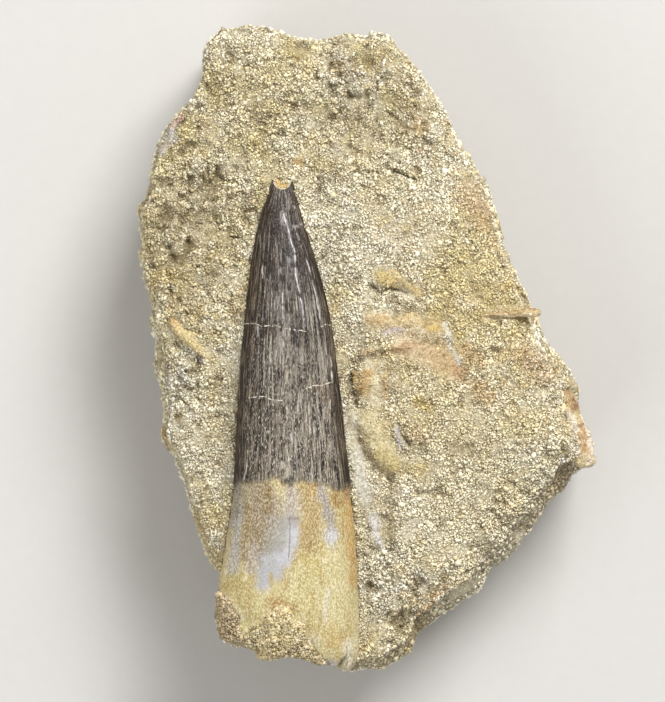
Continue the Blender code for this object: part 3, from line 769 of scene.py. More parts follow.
def block_surface(angle, reach, settings):
    """The rock's surface at an angle round the block and a reach out from its middle.

    Reach 0 to 1 runs from the middle of the face to the rim, 1 to 2 down the side to the foot, and 2 to 3
    back to the middle of the underside. The face is the plain face less a drop of reach to a high power.
    The side follows the widest line less the lean times a profile of the depth. Relief then lifts the face
    and pushes the side in and out.
    """
    out_x, out_y = np.cos(angle), np.sin(angle)
    widest, slope = widest_radius(angle), lean(angle)
    rim_radius = widest - slope
    face_part = np.minimum(reach, 1.0)
    depth = np.clip(reach - 1.0, 0.0, 1.0)
    under = np.clip(3.0 - reach, 0.0, 1.0)
    side_radius = widest - slope * np.interp(depth, SIDE_DEPTHS, SIDE_LEANS)
    side_radius -= FOOT_CHAMFER * smooth_step(depth, 0.86, 1.0) ** 2
    radius = np.where(reach <= 1.0, rim_radius * face_part, side_radius * under)
    x, y = radius * out_x, radius * out_y
    face = plain_face(x, y) - RIM_DROP * face_part ** RIM_ROUNDNESS
    rim = plain_face(rim_radius * out_x, rim_radius * out_y) - RIM_DROP
    z = np.where(reach <= 1.0, face, rim * (1.0 - depth))
    place = np.stack((x, y, z), -1)
    push = side_push(place, reach, settings) * under
    z = z + face_lift(x, y, settings) * (1.0 - smooth_step(reach, 0.97, 1.08))
    x, y = x + push * out_x, y + push * out_y
    pits = 0.25 * np.maximum(0.0, fractal(place, 2.6, 4, seed=51) - 0.25)
    z = np.where(reach >= 2.0, pits * smooth_step(reach, 2.0, 2.1), z)
    hidden = (tooth_cover(x, y) > z + BED_COVER) & (reach < 1.0)
    return np.stack((x, y, np.where(hidden, z - BED_DEPTH, z)), -1)


def even(x, code):
    """One hex colour for each number of an array."""
    return np.broadcast_to(linear(code), (*x.shape, 3))


def turned(first, second, share):
    """The first colours turned into the second by a share of 0 to 1 at each point."""
    return first + (second - first) * share[..., None]


def layered(colours, *layers):
    """Colours with hex colours laid over them in order, each by its own amount at each point."""
    for code, amount in layers:
        colours = turned(colours, linear(code), np.clip(amount, 0.0, 1.0))
    return colours


def toned(colours, x, y, tones, share):
    """Colours with broad round tones laid over a share of them."""
    for *place, code, strength in tones:
        colours = layered(colours, (code, strength * near(x, y, *place) * share))
    return colours


def marked(colours, x, y, marks, ragged):
    """Colours with strokes laid over them in order, with edges made ragged."""
    drift_x = x + ragged * flat_fractal(x, y, 0.7, 3, seed=61)
    drift_y = y + ragged * flat_fractal(x, y, 0.7, 3, seed=71)
    for half_width, code, strength, route in marks:
        colours = layered(colours, (code, strength * stroke(drift_x, drift_y, route, half_width, 3)))
    return colours


def rock_colours(points, reach, settings):
    """Colour of the sand: cream, with broad tones and marks, painted shade in the low hollows of the relief
    and painted light on its high crumbs, a pale skin on the sides, the sides a touch darker as painted shade,
    and pale patches of painted light on sides that face away from the lamps.
    """
    x, y = points[..., 0], points[..., 1]
    on_face, on_side = 1.0 - smooth_step(reach, 1.0, 1.06), smooth_step(reach, 1.0, 1.1)
    colours = layered(
        even(x, "#faf5de"),
        ("#e3d59d", 0.35 + 0.7 * fractal(points, 4.0, 3, seed=81)),
        ("#f7f5ec", 0.7 * fractal(points, 2.6, 3, seed=91)),
        ("#c3b37e", 0.6 * smooth_step(fractal(points, 1.8, 3, seed=94), 0.2, 0.9)),
        ("#d8b877", 0.45 * smooth_step(fractal(points, 1.1, 3, seed=104), 0.2, 0.8)),
        ("#9d9a8c", 0.4 * smooth_step(fractal(points, 0.9, 3, seed=107), 0.3, 0.9)))
    colours = toned(colours, x, y, FACE_TONES, on_face)
    colours = turned(colours, marked(colours, x, y, FACE_MARKS, 0.3), on_face)
    lift = face_lift(x, y, settings)
    skin = skin_amount(points, reach)
    colours = layered(
        colours,
        # painted shade darkens the low hollows of the relief, and painted light brightens its high crumbs
        ("#7b6d4a", 0.75 * smooth_step(-lift, 0.05, 0.6) * on_face),
        ("#f3ecd2", 0.4 * smooth_step(lift, 0.0, 0.5) * on_face),
        # painted shade: the sides a touch darker than the face
        ("#a8966b", 0.1 * on_side),
        ("#d9cba2", 0.6 * skin),
        ("#9c8c64", 0.5 * skin * smooth_step(fractal(points, 1.4, 4, seed=97), 0.0, 0.8)),
        ("#bd9a5c", 0.5 * on_side * smooth_step(fractal(points, 4.5, 3, seed=101), 0.3, 0.8)))
    # painted light: pale patches on sides that face away from the lamps
    return toned(colours, x, y, SIDE_PAINTED_LIGHT, on_side)


def skin_amount(points, reach):
    """Where the side is smooth pale clay and not grainy, from 0 to 1."""
    patches = smooth_step(fractal(points * (1.0, 1.0, 1.6), 5.0, 5, seed=111), 0.12, 0.65)
    return patches * smooth_step(reach, 1.04, 1.16) * (1.0 - smooth_step(reach, 1.96, 2.0))


def smooth_amount(x, y):
    """How smooth the face is, from 0 for all grains to 1 for none."""
    drift = 0.25 * flat_fractal(x, y, 0.8, 2, seed=115)
    amount = 0.6 * smooth_step(flat_fractal(x, y, 1.5, 3, seed=117), 0.1, 0.8)
    for half_width, route in SMOOTH_SPOTS:
        amount = np.maximum(amount, np.exp(-((line_distance(x, y, route) + drift) / half_width) ** 4))
    return amount


def write_mesh(name, points, faces, material, colours=None, values=None, bake_map=None, smooth=True):
    """A mesh object from whole arrays: points in millimetres, and blocks of faces of equal corner count.

    colours is a point colour called tint, values are named point numbers, and bake_map holds the unwrapped
    place of every face corner.
    """
    mesh = bpy.data.meshes.new(name)
    mesh.vertices.add(len(points))
    mesh.vertices.foreach_set("co", (points * MM).astype(np.float32).ravel())
    corners = np.concatenate([block.ravel() for block in faces]).astype(np.int32)
    sizes = np.concatenate([np.full(len(block), block.shape[1]) for block in faces])
    mesh.loops.add(len(corners))
    mesh.loops.foreach_set("vertex_index", corners)
    mesh.polygons.add(len(sizes))
    mesh.polygons.foreach_set("loop_start", np.concatenate(([0], np.cumsum(sizes)[:-1])).astype(np.int32))
    mesh.update(calc_edges=True)
    if smooth:
        mesh.shade_smooth()
    if colours is not None:
        layer = mesh.color_attributes.new(name="tint", type="FLOAT_COLOR", domain="POINT")
        opaque = np.concatenate((np.clip(colours, 0.0, 1.0), np.ones((len(points), 1))), axis=1)
        layer.data.foreach_set("color", opaque.astype(np.float32).ravel())
    for key, numbers in (values or {}).items():
        layer = mesh.attributes.new(name=key, type="FLOAT", domain="POINT")
        layer.data.foreach_set("value", numbers.astype(np.float32))
    if bake_map is not None:
        layer = mesh.uv_layers.new(name="OFBake")
        layer.data.foreach_set("uv", bake_map.astype(np.float32).ravel())
    mesh.validate()
    mesh.materials.append(material)
    piece = bpy.data.objects.new(name, mesh)
    bpy.context.scene.collection.objects.link(piece)
    return piece


def closed_tube(rings):
    """Faces and unwrapped corners of a closed body of rings, whose first and last rings shrink to poles.

    rings has the shape rings by sides by 3, and goes anticlockwise seen from its first ring. Returned are
    the points, the blocks of faces and the corners' places on a map of side against ring.
    """
    count, sides = rings.shape[:2]
    points = np.concatenate((rings[:1].mean(1), rings[1:-1].reshape(-1, 3), rings[-1:].mean(1)))
    ids = 1 + np.arange((count - 2) * sides).reshape(count - 2, sides)
    after = np.roll(ids, -1, 1)
    quads = np.stack((ids[:-1], ids[1:], after[1:], after[:-1]), -1).reshape(-1, 4)
    first = np.stack((np.zeros(sides, int), ids[0], after[0]), -1)
    last = np.stack((np.full(sides, len(points) - 1), after[-1], ids[-1]), -1)
    side, ring = np.meshgrid(np.arange(sides), np.arange(1, count - 2))
    across = np.stack((side, side, side + 1, side + 1), -1) / sides
    down = np.stack((ring, ring + 1, ring + 1, ring), -1) / (count - 1)
    quad_map = np.stack((across, down), -1).reshape(-1, 2)
    fan = np.arange(sides)
    top = np.stack((fan + 0.5, fan, fan + 1), -1) / sides
    top_map = np.stack((top, np.broadcast_to((0.0, 1.0 / (count - 1), 1.0 / (count - 1)), top.shape)), -1)
    foot = np.stack((fan + 0.5, fan + 1, fan), -1) / sides
    foot_level = (count - 2) / (count - 1)
    foot_map = np.stack((foot, np.broadcast_to((1.0, foot_level, foot_level), foot.shape)), -1)
    bake_map = np.concatenate((quad_map, top_map.reshape(-1, 2), foot_map.reshape(-1, 2)))
    return points, (quads, first, last), bake_map


def ring_values(grid):
    """A number for each point of a closed tube, from a grid of rings by sides."""
    return np.concatenate((grid[:1].mean(1), grid[1:-1].reshape(-1), grid[-1:].mean(1)))


def rough_block():
    """The 8 corners, one unit from the middle, and the 6 faces of a cube, which dents make into a grain."""
    corners = np.array(list(itertools.product((-1.0, 1.0), repeat=3))) / math.sqrt(3.0)
    faces = ((0, 1, 3, 2), (4, 6, 7, 5), (0, 4, 5, 1), (2, 3, 7, 6), (0, 2, 6, 4), (1, 5, 7, 3))
    return corners, np.array(faces)


def random_turns(rng, count):
    """Evenly random rotation matrices, from unit quaternions."""
    w, x, y, z = rng.normal(size=(4, count))
    size = np.sqrt(w * w + x * x + y * y + z * z)
    w, x, y, z = w / size, x / size, y / size, z / size
    rows = (
        (1 - 2 * (y * y + z * z), 2 * (x * y - z * w), 2 * (x * z + y * w)),
        (2 * (x * y + z * w), 1 - 2 * (x * x + z * z), 2 * (y * z - x * w)),
        (2 * (x * z - y * w), 2 * (y * z + x * w), 1 - 2 * (x * x + y * y)),
    )
    return np.stack([np.stack(row, -1) for row in rows], -2)


def grain_colours(rng, colours):
    """Each grain's own colour: the rock's, lighter or darker, with some white, brown and ochre grains."""
    colours = colours * np.exp(rng.normal(0.0, 0.12, len(colours)))[:, None]
    kind = rng.random(len(colours))
    return layered(
        colours,
        ("#f5f0e0", np.where(kind < 0.1, 0.4, 0.0)),
        ("#6f5f3a", np.where((kind > 0.1) & (kind < 0.22), 0.5, 0.0)),
        ("#cdb26a", np.where((kind > 0.22) & (kind < 0.3), 0.4, 0.0)))


def grain_sizes(rng, count, settings, part=1.0):
    """Widths of the grains in millimetres: the common one times the exponential of a random normal number."""
    return part * settings.grain_size / MM * np.exp(rng.normal(-0.02, 0.34, count))


def sand(name, centres, sizes, colours, bake_places, material, rng):
    """Grains as joined dented blocks, in pieces of limited size, named name_1 and up.

    Corner = centre + size x turn x (stretched, dented unit corner). Each grain has one colour. On the map
    a grain lies at its own place as seen from above, sheared by its height so that its sides have width.
    """
    unit, unit_faces = rough_block()
    pieces = []
    for part in range(0, len(centres), MOST_GRAINS):
        chosen = slice(part, part + MOST_GRAINS)
        count = len(centres[chosen])
        dents = 1.0 + rng.normal(0.0, 0.16, (count, len(unit), 1))
        stretch = rng.uniform(0.6, 1.2, (count, 1, 3))
        offsets = np.einsum("nij,nkj->nki", random_turns(rng, count), unit * dents * stretch)
        offsets *= sizes[chosen, None, None] / 2.0
        points = (centres[chosen, None, :] + offsets).reshape(-1, 3)
        faces = (unit_faces[None] + len(unit) * np.arange(count)[:, None, None]).reshape(-1, 4)
        tints = np.repeat(colours[chosen], len(unit), 0)
        flat = bake_places[chosen, None, :] + (offsets[..., :2] + 0.37 * offsets[..., 2:]) / GRAIN_MAP
        bake_map = np.clip(flat.reshape(-1, 2)[faces.ravel()], 0.0, 1.0)
        pieces.append(write_mesh(f"{name}_{len(pieces) + 1}", points, (faces,), material, tints,
                                 bake_map=bake_map, smooth=False))
    return pieces


def jittered_places(rng, low, high, pitch):
    """Points on a triangular lattice of the given pitch, each moved at random by under half of it."""
    columns = np.arange(low[0], high[0], pitch)
    rows = np.arange(low[1], high[1], pitch * math.sqrt(0.75))
    x, y = np.meshgrid(columns, rows)
    x = x + (np.arange(len(rows)) % 2)[:, None] * pitch / 2.0
    places = np.stack((x.ravel(), y.ravel()), -1)
    return places + rng.uniform(-0.48, 0.48, places.shape) * pitch


def keep(piece, slot, *nodes):
    """Makes a piece part of the object: it rides on the one body, and may stand for solid nodes."""
    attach(piece, BODY)
    if nodes:
        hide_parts(*nodes)


def set_inputs(tree, node, inputs):
    """Gives a node's sockets, by name or in order, a link from another socket, a hex colour or a value.

    A map range's inputs in order are its value, the range it comes from and the range it goes to.
    """
    for socket, source in inputs.items() if isinstance(inputs, dict) else enumerate(inputs):
        if isinstance(source, bpy.types.NodeSocket):
            tree.links.new(source, node.inputs[socket])
        elif isinstance(source, str):
            node.inputs[socket].default_value = (*linear(source), 1.0)
        else:
            node.inputs[socket].default_value = source


def add_node(tree, kind, inputs=(), output=0, **settings):
    """Adds a shader node with its settings and inputs, and returns one of its output sockets."""
    node = tree.nodes.new("ShaderNode" + kind)
    for key, value in settings.items():
        setattr(node, key, value)
    set_inputs(tree, node, inputs)
    return node.outputs[output]


def new_material(name, uniform):
    """A material, its node tree and its Principled shader, whose even values are set on its own sockets."""
    material = bpy.data.materials.new(name)
    material.use_nodes = True
    shader = material.node_tree.nodes["Principled BSDF"]
    set_inputs(material.node_tree, shader, uniform)
    return material, material.node_tree, shader


def grain_material():
    """Phosphate sand: rounded pellets of fossil phosphate, dull with dust, each with its own tint."""
    material, tree, shader = new_material("phosphate_sand", {"IOR": 1.6})
    place = add_node(tree, "TexCoord", output="Object")
    tint = add_node(tree, "Attribute", attribute_name="tint")
    fine = add_node(tree, "TexNoise", {
        "Vector": place, "Scale": 1.0 / (0.12 * MM), "Detail": 3.0, "Roughness": 0.6})
    dirt = add_node(tree, "MapRange", (fine, 0.35, 0.7, 0.0, 0.3))
    colour = add_node(tree, "Mix", {FACTOR: dirt, UNDER: tint, OVER: "#9c8a60"}, MIXED, **DARKENED)
    set_inputs(tree, shader, {
        "Base Color": colour,
        "Roughness": add_node(tree, "MapRange", (fine, 0.3, 0.7, 0.7, 0.95)),
        "Normal": add_node(tree, "Bump", {"Height": fine, "Distance": 0.03 * MM})})
    return material


def cement_material(name="sandstone_cement"):
    """Calcite and clay cement between the grains: dull, with fine sand sunk in it as bumped beads, and
    painted shade in the gaps between the beads.
    """
    material, tree, shader = new_material(name, {"IOR": 1.55})
    place = add_node(tree, "TexCoord", output="Object")
    tint = add_node(tree, "Attribute", attribute_name="tint")
    grainy = add_node(tree, "Attribute", output="Fac", attribute_name="grainy")
    cells = add_node(tree, "TexVoronoi", {"Vector": place, "Scale": 1.0 / (0.26 * MM)}, "Distance")
    grime, pitting = (
        add_node(tree, "TexNoise", {
            "Vector": place, "Scale": 1.0 / (width * MM), "Detail": 5.0, "Roughness": roughness})
        for width, roughness in ((0.3, 0.8), (0.45, 0.7)))
    grime = add_node(tree, "MapRange", (grime, 0.42, 0.6, 0.0, 0.7))
    # painted shade: darker in the gaps between the bumped beads, where the surface is grainy
    painted_pore_shade = add_node(tree, "MapRange", (cells, 0.35, 0.8, 0.0, 0.8))
    painted_pore_shade = add_node(tree, "Math", (painted_pore_shade, grainy), operation="MULTIPLY")
    tone = add_node(tree, "Mix", {FACTOR: grime, UNDER: tint, OVER: "#94845c"}, MIXED, **DARKENED)
    bead = add_node(tree, "MapRange", (cells, 0.0, 0.8, 1.0, 0.0))
    height = add_node(tree, "Math", (bead, grainy, pitting), operation="MULTIPLY_ADD")
    colour = add_node(tree, "Mix", {FACTOR: painted_pore_shade, UNDER: tone, OVER: "#5c4a2a"}, MIXED, **COVERED)
    set_inputs(tree, shader, {
        "Base Color": colour,
        "Roughness": add_node(tree, "MapRange", (cells, 0.1, 0.7, 0.7, 0.95)),
        "Normal": add_node(tree, "Bump", {"Height": height, "Distance": 0.2 * MM})})
    return material


def tooth_material(settings):
    """Fossil enamel and root cement: satin brown enamel with pale dust in its grooves, chalky ochre root."""
    material, tree, shader = new_material("fossil_enamel_and_root", {"IOR": 1.6, "Specular IOR Level": 0.3})
    place = add_node(tree, "TexCoord", output="Object")
    tint = add_node(tree, "Attribute", attribute_name="tint")
    crown, dust, mottle, crack = (
        add_node(tree, "Attribute", output="Fac", attribute_name=name)
        for name in ("crown", "dust", "mottle", "crack"))
    lines, specks, chalk, breaks = (
        add_node(tree, "TexNoise", {
            "Vector": add_node(tree, "Mapping", {"Vector": place, "Scale": (1.0, 1.0 / stretch, 1.0)}),
            "Scale": 1.0 / (width * MM), "Detail": detail, "Roughness": roughness})
        for width, stretch, detail, roughness in TOOTH_PATTERNS)
    lines = add_node(tree, "MapRange", (lines, 0.46, 0.6, 0.0, 0.8))
    specks = add_node(tree, "MapRange", (specks, 0.55, 0.68))
    specks = add_node(tree, "Math", (specks, dust), operation="MULTIPLY")
    stains = add_node(tree, "MapRange", (chalk, 0.4, 0.62, 0.0, 0.6))
    stains = add_node(tree, "Math", (stains, mottle), operation="MULTIPLY")
    flecks = add_node(tree, "MapRange", (chalk, 0.52, 0.4, 0.0, 0.3))
    flecks = add_node(tree, "Math", (flecks, mottle), operation="MULTIPLY")
    breaks = add_node(tree, "MapRange", (breaks, 0.45, 0.57))
    crack = add_node(tree, "Math", (crack,), operation="ABSOLUTE")
    crack = add_node(tree, "MapRange", (crack, 0.03, 0.08, 0.9, 0.0))
    crack = add_node(tree, "Math", (crack, breaks), operation="MULTIPLY")
    enamel = add_node(tree, "Mix", {FACTOR: lines, UNDER: tint, OVER: "#4f3f33"}, MIXED, **DARKENED)
    enamel = add_node(tree, "Mix", {FACTOR: specks, UNDER: enamel, OVER: "#c9c2b4"}, MIXED, **COVERED)
    root = add_node(tree, "Mix", {FACTOR: stains, UNDER: tint, OVER: "#a8946a"}, MIXED, **DARKENED)
    root = add_node(tree, "Mix", {FACTOR: flecks, UNDER: root, OVER: "#f2ecd8"}, MIXED, **COVERED)
    colour = add_node(tree, "Mix", {FACTOR: crown, UNDER: root, OVER: enamel}, MIXED, **COVERED)
    clean = settings.roughness
    worn = add_node(tree, "MapRange", (chalk, 0.35, 0.65, clean, clean + 0.2))
    colour = add_node(tree, "Mix", {FACTOR: crack, UNDER: colour, OVER: "#d8d0bf"}, MIXED, **COVERED)
    set_inputs(tree, shader, {
        "Base Color": colour,
        "Roughness": add_node(tree, "Mix", {"Factor": crown, "A": 0.8, "B": worn}),
        "Normal": add_node(tree, "Bump", {"Height": chalk, "Distance": 0.05 * MM})})
    return material


def bone_material():
    """Phosphatised bone: waxy where it is worn, dull in its pores, ochre to cream."""
    material, tree, shader = new_material("phosphatised_bone", {"IOR": 1.6})
    place = add_node(tree, "TexCoord", output="Object")
    tint = add_node(tree, "Attribute", attribute_name="tint")
    pores = add_node(tree, "TexNoise", {
        "Vector": place, "Scale": 1.0 / (0.2 * MM), "Detail": 4.0, "Roughness": 0.8})
    stained = add_node(tree, "MapRange", (pores, 0.42, 0.6, 0.0, 0.65))
    bleached = add_node(tree, "MapRange", (pores, 0.46, 0.36, 0.0, 0.5))
    tone = add_node(tree, "Mix", {FACTOR: stained, UNDER: tint, OVER: "#a08a62"}, MIXED, **DARKENED)
    colour = add_node(tree, "Mix", {FACTOR: bleached, UNDER: tone, OVER: "#f0e8d0"}, MIXED, **COVERED)
    set_inputs(tree, shader, {
        "Base Color": colour,
        "Roughness": add_node(tree, "MapRange", (pores, 0.3, 0.7, 0.55, 0.85)),
        "Normal": add_node(tree, "Bump", {"Height": pores, "Distance": 0.1 * MM})})
    return material


def floor_material():
    """Matt white painted board: an even pale ground with the faintest tooth."""
    material, tree, shader = new_material("matt_white_board", {"Roughness": 0.85})
    place = add_node(tree, "TexCoord", output="Object")
    paper = add_node(tree, "TexNoise", {
        "Vector": place, "Scale": 1.0 / (1.5 * MM), "Detail": 3.0, "Roughness": 0.6})
    board = add_node(tree, "Mix", {FACTOR: paper, UNDER: "#bbb9b5", OVER: "#c0beba"}, MIXED, **COVERED)
    set_inputs(tree, shader, {"Base Color": board})
    return material


def block_grid():
    """Angle and reach of every point of the block's grid, its blocks of faces and its ring's point count.

    The face is a square grid of cells. A cell's ring is its larger coordinate and its place along that ring
    gives the angle, so the grid's edge is a ring of points, four to a cell's width. Side and underside rows
    go on from that ring, and a last point closes the underside.
    """
    line = np.linspace(-1.0, 1.0, FACE_CELLS + 1)
    a, b = np.meshgrid(line, line)
    reach = np.maximum(np.abs(a), np.abs(b))
    wide = np.abs(a) >= np.abs(b)
    safe_a, safe_b = np.where(a == 0.0, 1.0, a), np.where(b == 0.0, 1.0, b)
    turn = np.where(wide, 0.25 * math.pi * b / safe_a, 0.5 * math.pi - 0.25 * math.pi * a / safe_b)
    angle = turn + np.where(np.where(wide, a, b) < 0.0, math.pi, 0.0)
    ids = np.arange(a.size).reshape(a.shape)
    edge = np.concatenate((ids[:-1, -1], ids[-1, :0:-1], ids[:0:-1, 0], ids[0, :-1]))
    ring = len(edge)
    face_quads = np.stack((ids[:-1, :-1], ids[:-1, 1:], ids[1:, 1:], ids[1:, :-1]), -1).reshape(-1, 4)
    row_reach = np.concatenate((
        1.0 + np.linspace(0.0, 1.0, SIDE_ROWS + 1)[1:],
        2.0 + (np.linspace(0.0, 1.0, UNDER_ROWS + 1)[1:-1]) ** 0.7,
    ))
    row_ids = ids.size + np.arange(len(row_reach) * ring).reshape(len(row_reach), ring)
    upper = np.concatenate((edge[None], row_ids))
    after = np.roll(upper, -1, 1)
    row_quads = np.stack((upper[:-1], upper[1:], after[1:], after[:-1]), -1).reshape(-1, 4)
    fan = np.stack((upper[-1], np.full(ring, row_ids.max() + 1), after[-1]), -1)
    angle = np.concatenate((angle.ravel(), np.tile(angle.ravel()[edge], len(row_reach)), (0.0,)))
    reach = np.concatenate((reach.ravel(), np.repeat(row_reach, ring), (3.0,)))
    return angle, reach, (face_quads, row_quads, fan), ring


def block_bake_map(points, reach, faces, ring):
    """Unwrapped corners: the face and the underside as seen, the side as two strips one above the other."""
    face_quads, row_quads, fan = faces
    face_share, under_share, under_corner = 0.54, 0.44, (0.555, 0.5)
    strip_top, strip_step, strip_height = 0.44, 0.22, 0.21
    seen = points[:, :2] / BLOCK_MAP + 0.5
    face_map = seen[face_quads.ravel()] * face_share + (0.0, 1.0 - face_share)
    column = np.arange(len(row_quads)) % ring
    across = np.stack((column, column, column + 1, column + 1), -1) / ring
    level = np.clip(reach[row_quads] - 1.0, 0.0, 1.0)
    second = (column >= ring // 2)[:, None]
    strip = np.stack((2.0 * across - second, strip_top - strip_height * level - strip_step * second), -1)
    below = seen[row_quads] * under_share + under_corner
    under = (reach[row_quads].min(1) >= 2.0)[:, None, None]
    row_map = np.where(under, below, strip).reshape(-1, 2)
    fan_map = seen[fan.ravel()] * under_share + under_corner
    return np.concatenate((face_map, row_map, fan_map))


def build_rock(settings):
    """The block itself, under its sand: one closed surface of angle and reach."""
    angle, reach, faces, ring = block_grid()
    points = block_surface(angle, reach, settings)
    colours = rock_colours(points, reach, settings)
    on_face = 1.0 - smooth_step(reach, 1.0, 1.03)
    bare = np.maximum(skin_amount(points, reach), 0.5 * smooth_step(reach, 1.99, 2.02))
    bare = np.maximum(bare, smooth_amount(points[:, 0], points[:, 1]) * on_face)
    # Under the grains the rock takes the cement's dark colour, partly its own and partly painted shade
    # between the grains
    cement_and_gap_shade = 0.45 * colours + 0.55 * np.array(settings.cement)
    piece = write_mesh("rock", points, faces, cement_material(), turned(cement_and_gap_shade, 0.9 * colours, bare),
                       {"grainy": 1.0 - 0.8 * bare}, block_bake_map(points, reach, faces, ring))
    keep(piece, "sandstone", "matrix")


def face_sand(settings, rng):
    """Centres, sizes, colours and map places of the grains on the face, clear of the tooth."""
    low, high = (np.array(corner)[:2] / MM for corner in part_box("matrix"))
    places = jittered_places(rng, low, high, settings.face_pitch / MM)
    angle = np.arctan2(places[:, 1], places[:, 0])
    reach = np.hypot(*places.T) / (widest_radius(angle) - lean(angle))
    points = block_surface(angle, np.minimum(reach, 0.999), settings)
    chosen = (reach < 1.0) & (tooth_cover(points[:, 0], points[:, 1]) < points[:, 2] + 0.3)
    fine = smooth_amount(points[:, 0], points[:, 1])
    chosen &= fine < rng.uniform(0.1, 1.4, len(points))
    points, reach, fine = points[chosen], reach[chosen], fine[chosen]
    sizes = grain_sizes(rng, len(points), settings, 1.0 - 0.45 * fine)
    colours = grain_colours(rng, rock_colours(points, reach, settings))
    points[:, 2] += rng.uniform(-0.1, 0.08, len(points))
    return points, sizes, colours, points[:, :2] / BLOCK_MAP + 0.5


def side_sand(settings, rng):
    """The same for the broken sides, where few grains stand on the smooth skin."""
    places = jittered_places(rng, (0.0, 0.0), (SIDE_LENGTH, SIDE_DEPTH), settings.side_pitch / MM)
    angle = places[:, 0] / SIDE_LENGTH * TURN
    reach = 1.0 + np.clip(places[:, 1] / SIDE_DEPTH, 0.0, 0.985)
    points = block_surface(angle, reach, settings)
    fine = skin_amount(points, reach)
    chosen = fine < rng.uniform(0.1, 1.3, len(points))
    cover = tooth_cover(points[:, 0], points[:, 1])
    chosen &= ~((cover > points[:, 2]) & (points[:, 2] > ROOT_UNDERSIDE))
    points, reach = points[chosen], reach[chosen]
    sizes = grain_sizes(rng, len(points), settings, 1.5 - 0.8 * fine[chosen])
    colours = grain_colours(rng, rock_colours(points, reach, settings))
    sunk = rng.uniform(0.0, 0.2, (len(points), 1))
    points[:, :2] *= 1.0 - sunk / np.hypot(*points[:, :2].T)[:, None]
    points[:, 2] = np.maximum(points[:, 2], sizes * 0.6)
    strip = places[chosen, 0] / SIDE_LENGTH * 3.0
    flat = np.stack((strip % 1.0, np.floor(strip) * 0.33 + 0.3 * (reach - 1.0)), -1)
    return points, sizes, colours, flat


def root_sand(settings, rng):
    """The same for the crust on the root, where the grains stand on the tooth's own surface."""
    low, high = (-16.5, -36.0), (-3.0, -24.5)
    x, y = jittered_places(rng, low, high, 0.85 * settings.face_pitch / MM).T
    crust = depth_inside(x, y, ROOT_SAND) + 0.25 * flat_fractal(x, y, 0.9, 3, seed=261)
    cover = tooth_cover(x, y)
    before_end = y - (TOOTH_TIP_Y - TOOTH_LENGTH - ROOT_END_SLANT * (x - TOOTH_STATIONS[-1, 1]))
    chosen = (crust > rng.uniform(-0.1, 0.25, len(x))) & (cover > FACE_LEVEL - 1.0) & (before_end > 0.5)
    cover = cover - end_rounding(before_end)
    x, y, crust, cover = x[chosen], y[chosen], crust[chosen], cover[chosen]
    points = np.stack((x, y, cover + crust_height(crust, x, y) + rng.uniform(-0.08, 0.1, len(x))), -1)
    sizes = grain_sizes(rng, len(points), settings, 1.1)
    colours = layered(even(x, "#cbbd97"), ("#b89a80", smooth_step(-x, 12.5, 14.0) * 0.35))
    return points, sizes, grain_colours(rng, colours), (points[:, :2] + (17.0, 37.0)) / 14.0


def end_sand(settings, rng):
    """The same for the root's broken end: most in its hollow, and over its left part."""
    aside, axis, half_width, half_depth = tooth_girth(TOOTH_LENGTH)
    low, high = (aside - half_width, axis - half_depth), (aside + half_width, axis + half_depth)
    x, z = jittered_places(rng, low, high, settings.face_pitch / MM).T
    inner = np.stack((x, np.full(len(x), TOOTH_TIP_Y - TOOTH_LENGTH), z), -1)
    shrink = np.hypot((x - aside) / (half_width - DENTINE), (z - axis) / (half_depth - DENTINE))
    ragged = fractal(inner, 1.2, 3, seed=345)
    hollow = smooth_step(0.6 + 0.1 * ragged - shrink, 0.0, 0.1)
    left = smooth_step(-10.0 + 1.5 * ragged - x, 0.0, 0.8)
    chosen = (shrink < 0.97) & (np.maximum(hollow, left) > rng.uniform(-0.04, 1.1, len(x)))
    points = inner[chosen]
    points[:, 1] -= end_shift(points, shrink[chosen], aside) + rng.uniform(-0.05, 0.1, len(points))
    colours = grain_colours(rng, even(points[:, 0], "#cdbd92"))
    flat = (points[:, [0, 2]] + (16.0, -13.0)) / 16.0
    return points, grain_sizes(rng, len(points), settings, 1.1), colours, flat


def crust_height(crust, x, y):
    """Thickness of the sand on the root: up to half a millimetre, lumpy, from its distance inside."""
    return (0.35 + 0.2 * flat_fractal(x, y, 1.1, 3, seed=265)) * smooth_step(crust, -0.2, 0.8)


def upper_side(around):
    """1 on the tooth's upper side and 0 on its lower one, by the angle round it."""
    return smooth_step(np.sin(around), -0.1, 0.2)


def build_sand(settings):
    """All the grains of the block and of the root, as joined meshes."""
    rng = np.random.default_rng(settings.seed)
    material = grain_material()
    for maker in (face_sand, side_sand, root_sand, end_sand):
        for piece in sand(maker.__name__, *maker(settings, rng), material, rng):
            keep(piece, "sandstone")


def crown_ridges(around, along, settings):
    """Height of the fine ridges, 0 in a groove and 1 on a ridge, at an angle round the crown.

    The ridge number is the angle times the count; a ridge's profile is a sine over its width. Each ridge
    has its own strength, and starts at its own distance from the tip.
    """
    rng = np.random.default_rng(7)
    count = settings.ridges
    strength = rng.uniform(0.45, 1.0, count)
    start = np.where(np.arange(count) % 3 == 0, -5.0, rng.uniform(0.0, 17.0, count))
    turn = (around / TURN) % 1.0
    turn = (turn + 0.004 * noise(flat_places(around * 3.0, along), 4.0, seed=201)) % 1.0
    number = np.floor(turn * count).astype(int) % count
    part = turn * count - np.floor(turn * count)
    return np.sin(math.pi * part) ** 0.8 * strength[number] * smooth_step(along - start[number], 0.0, 3.0)


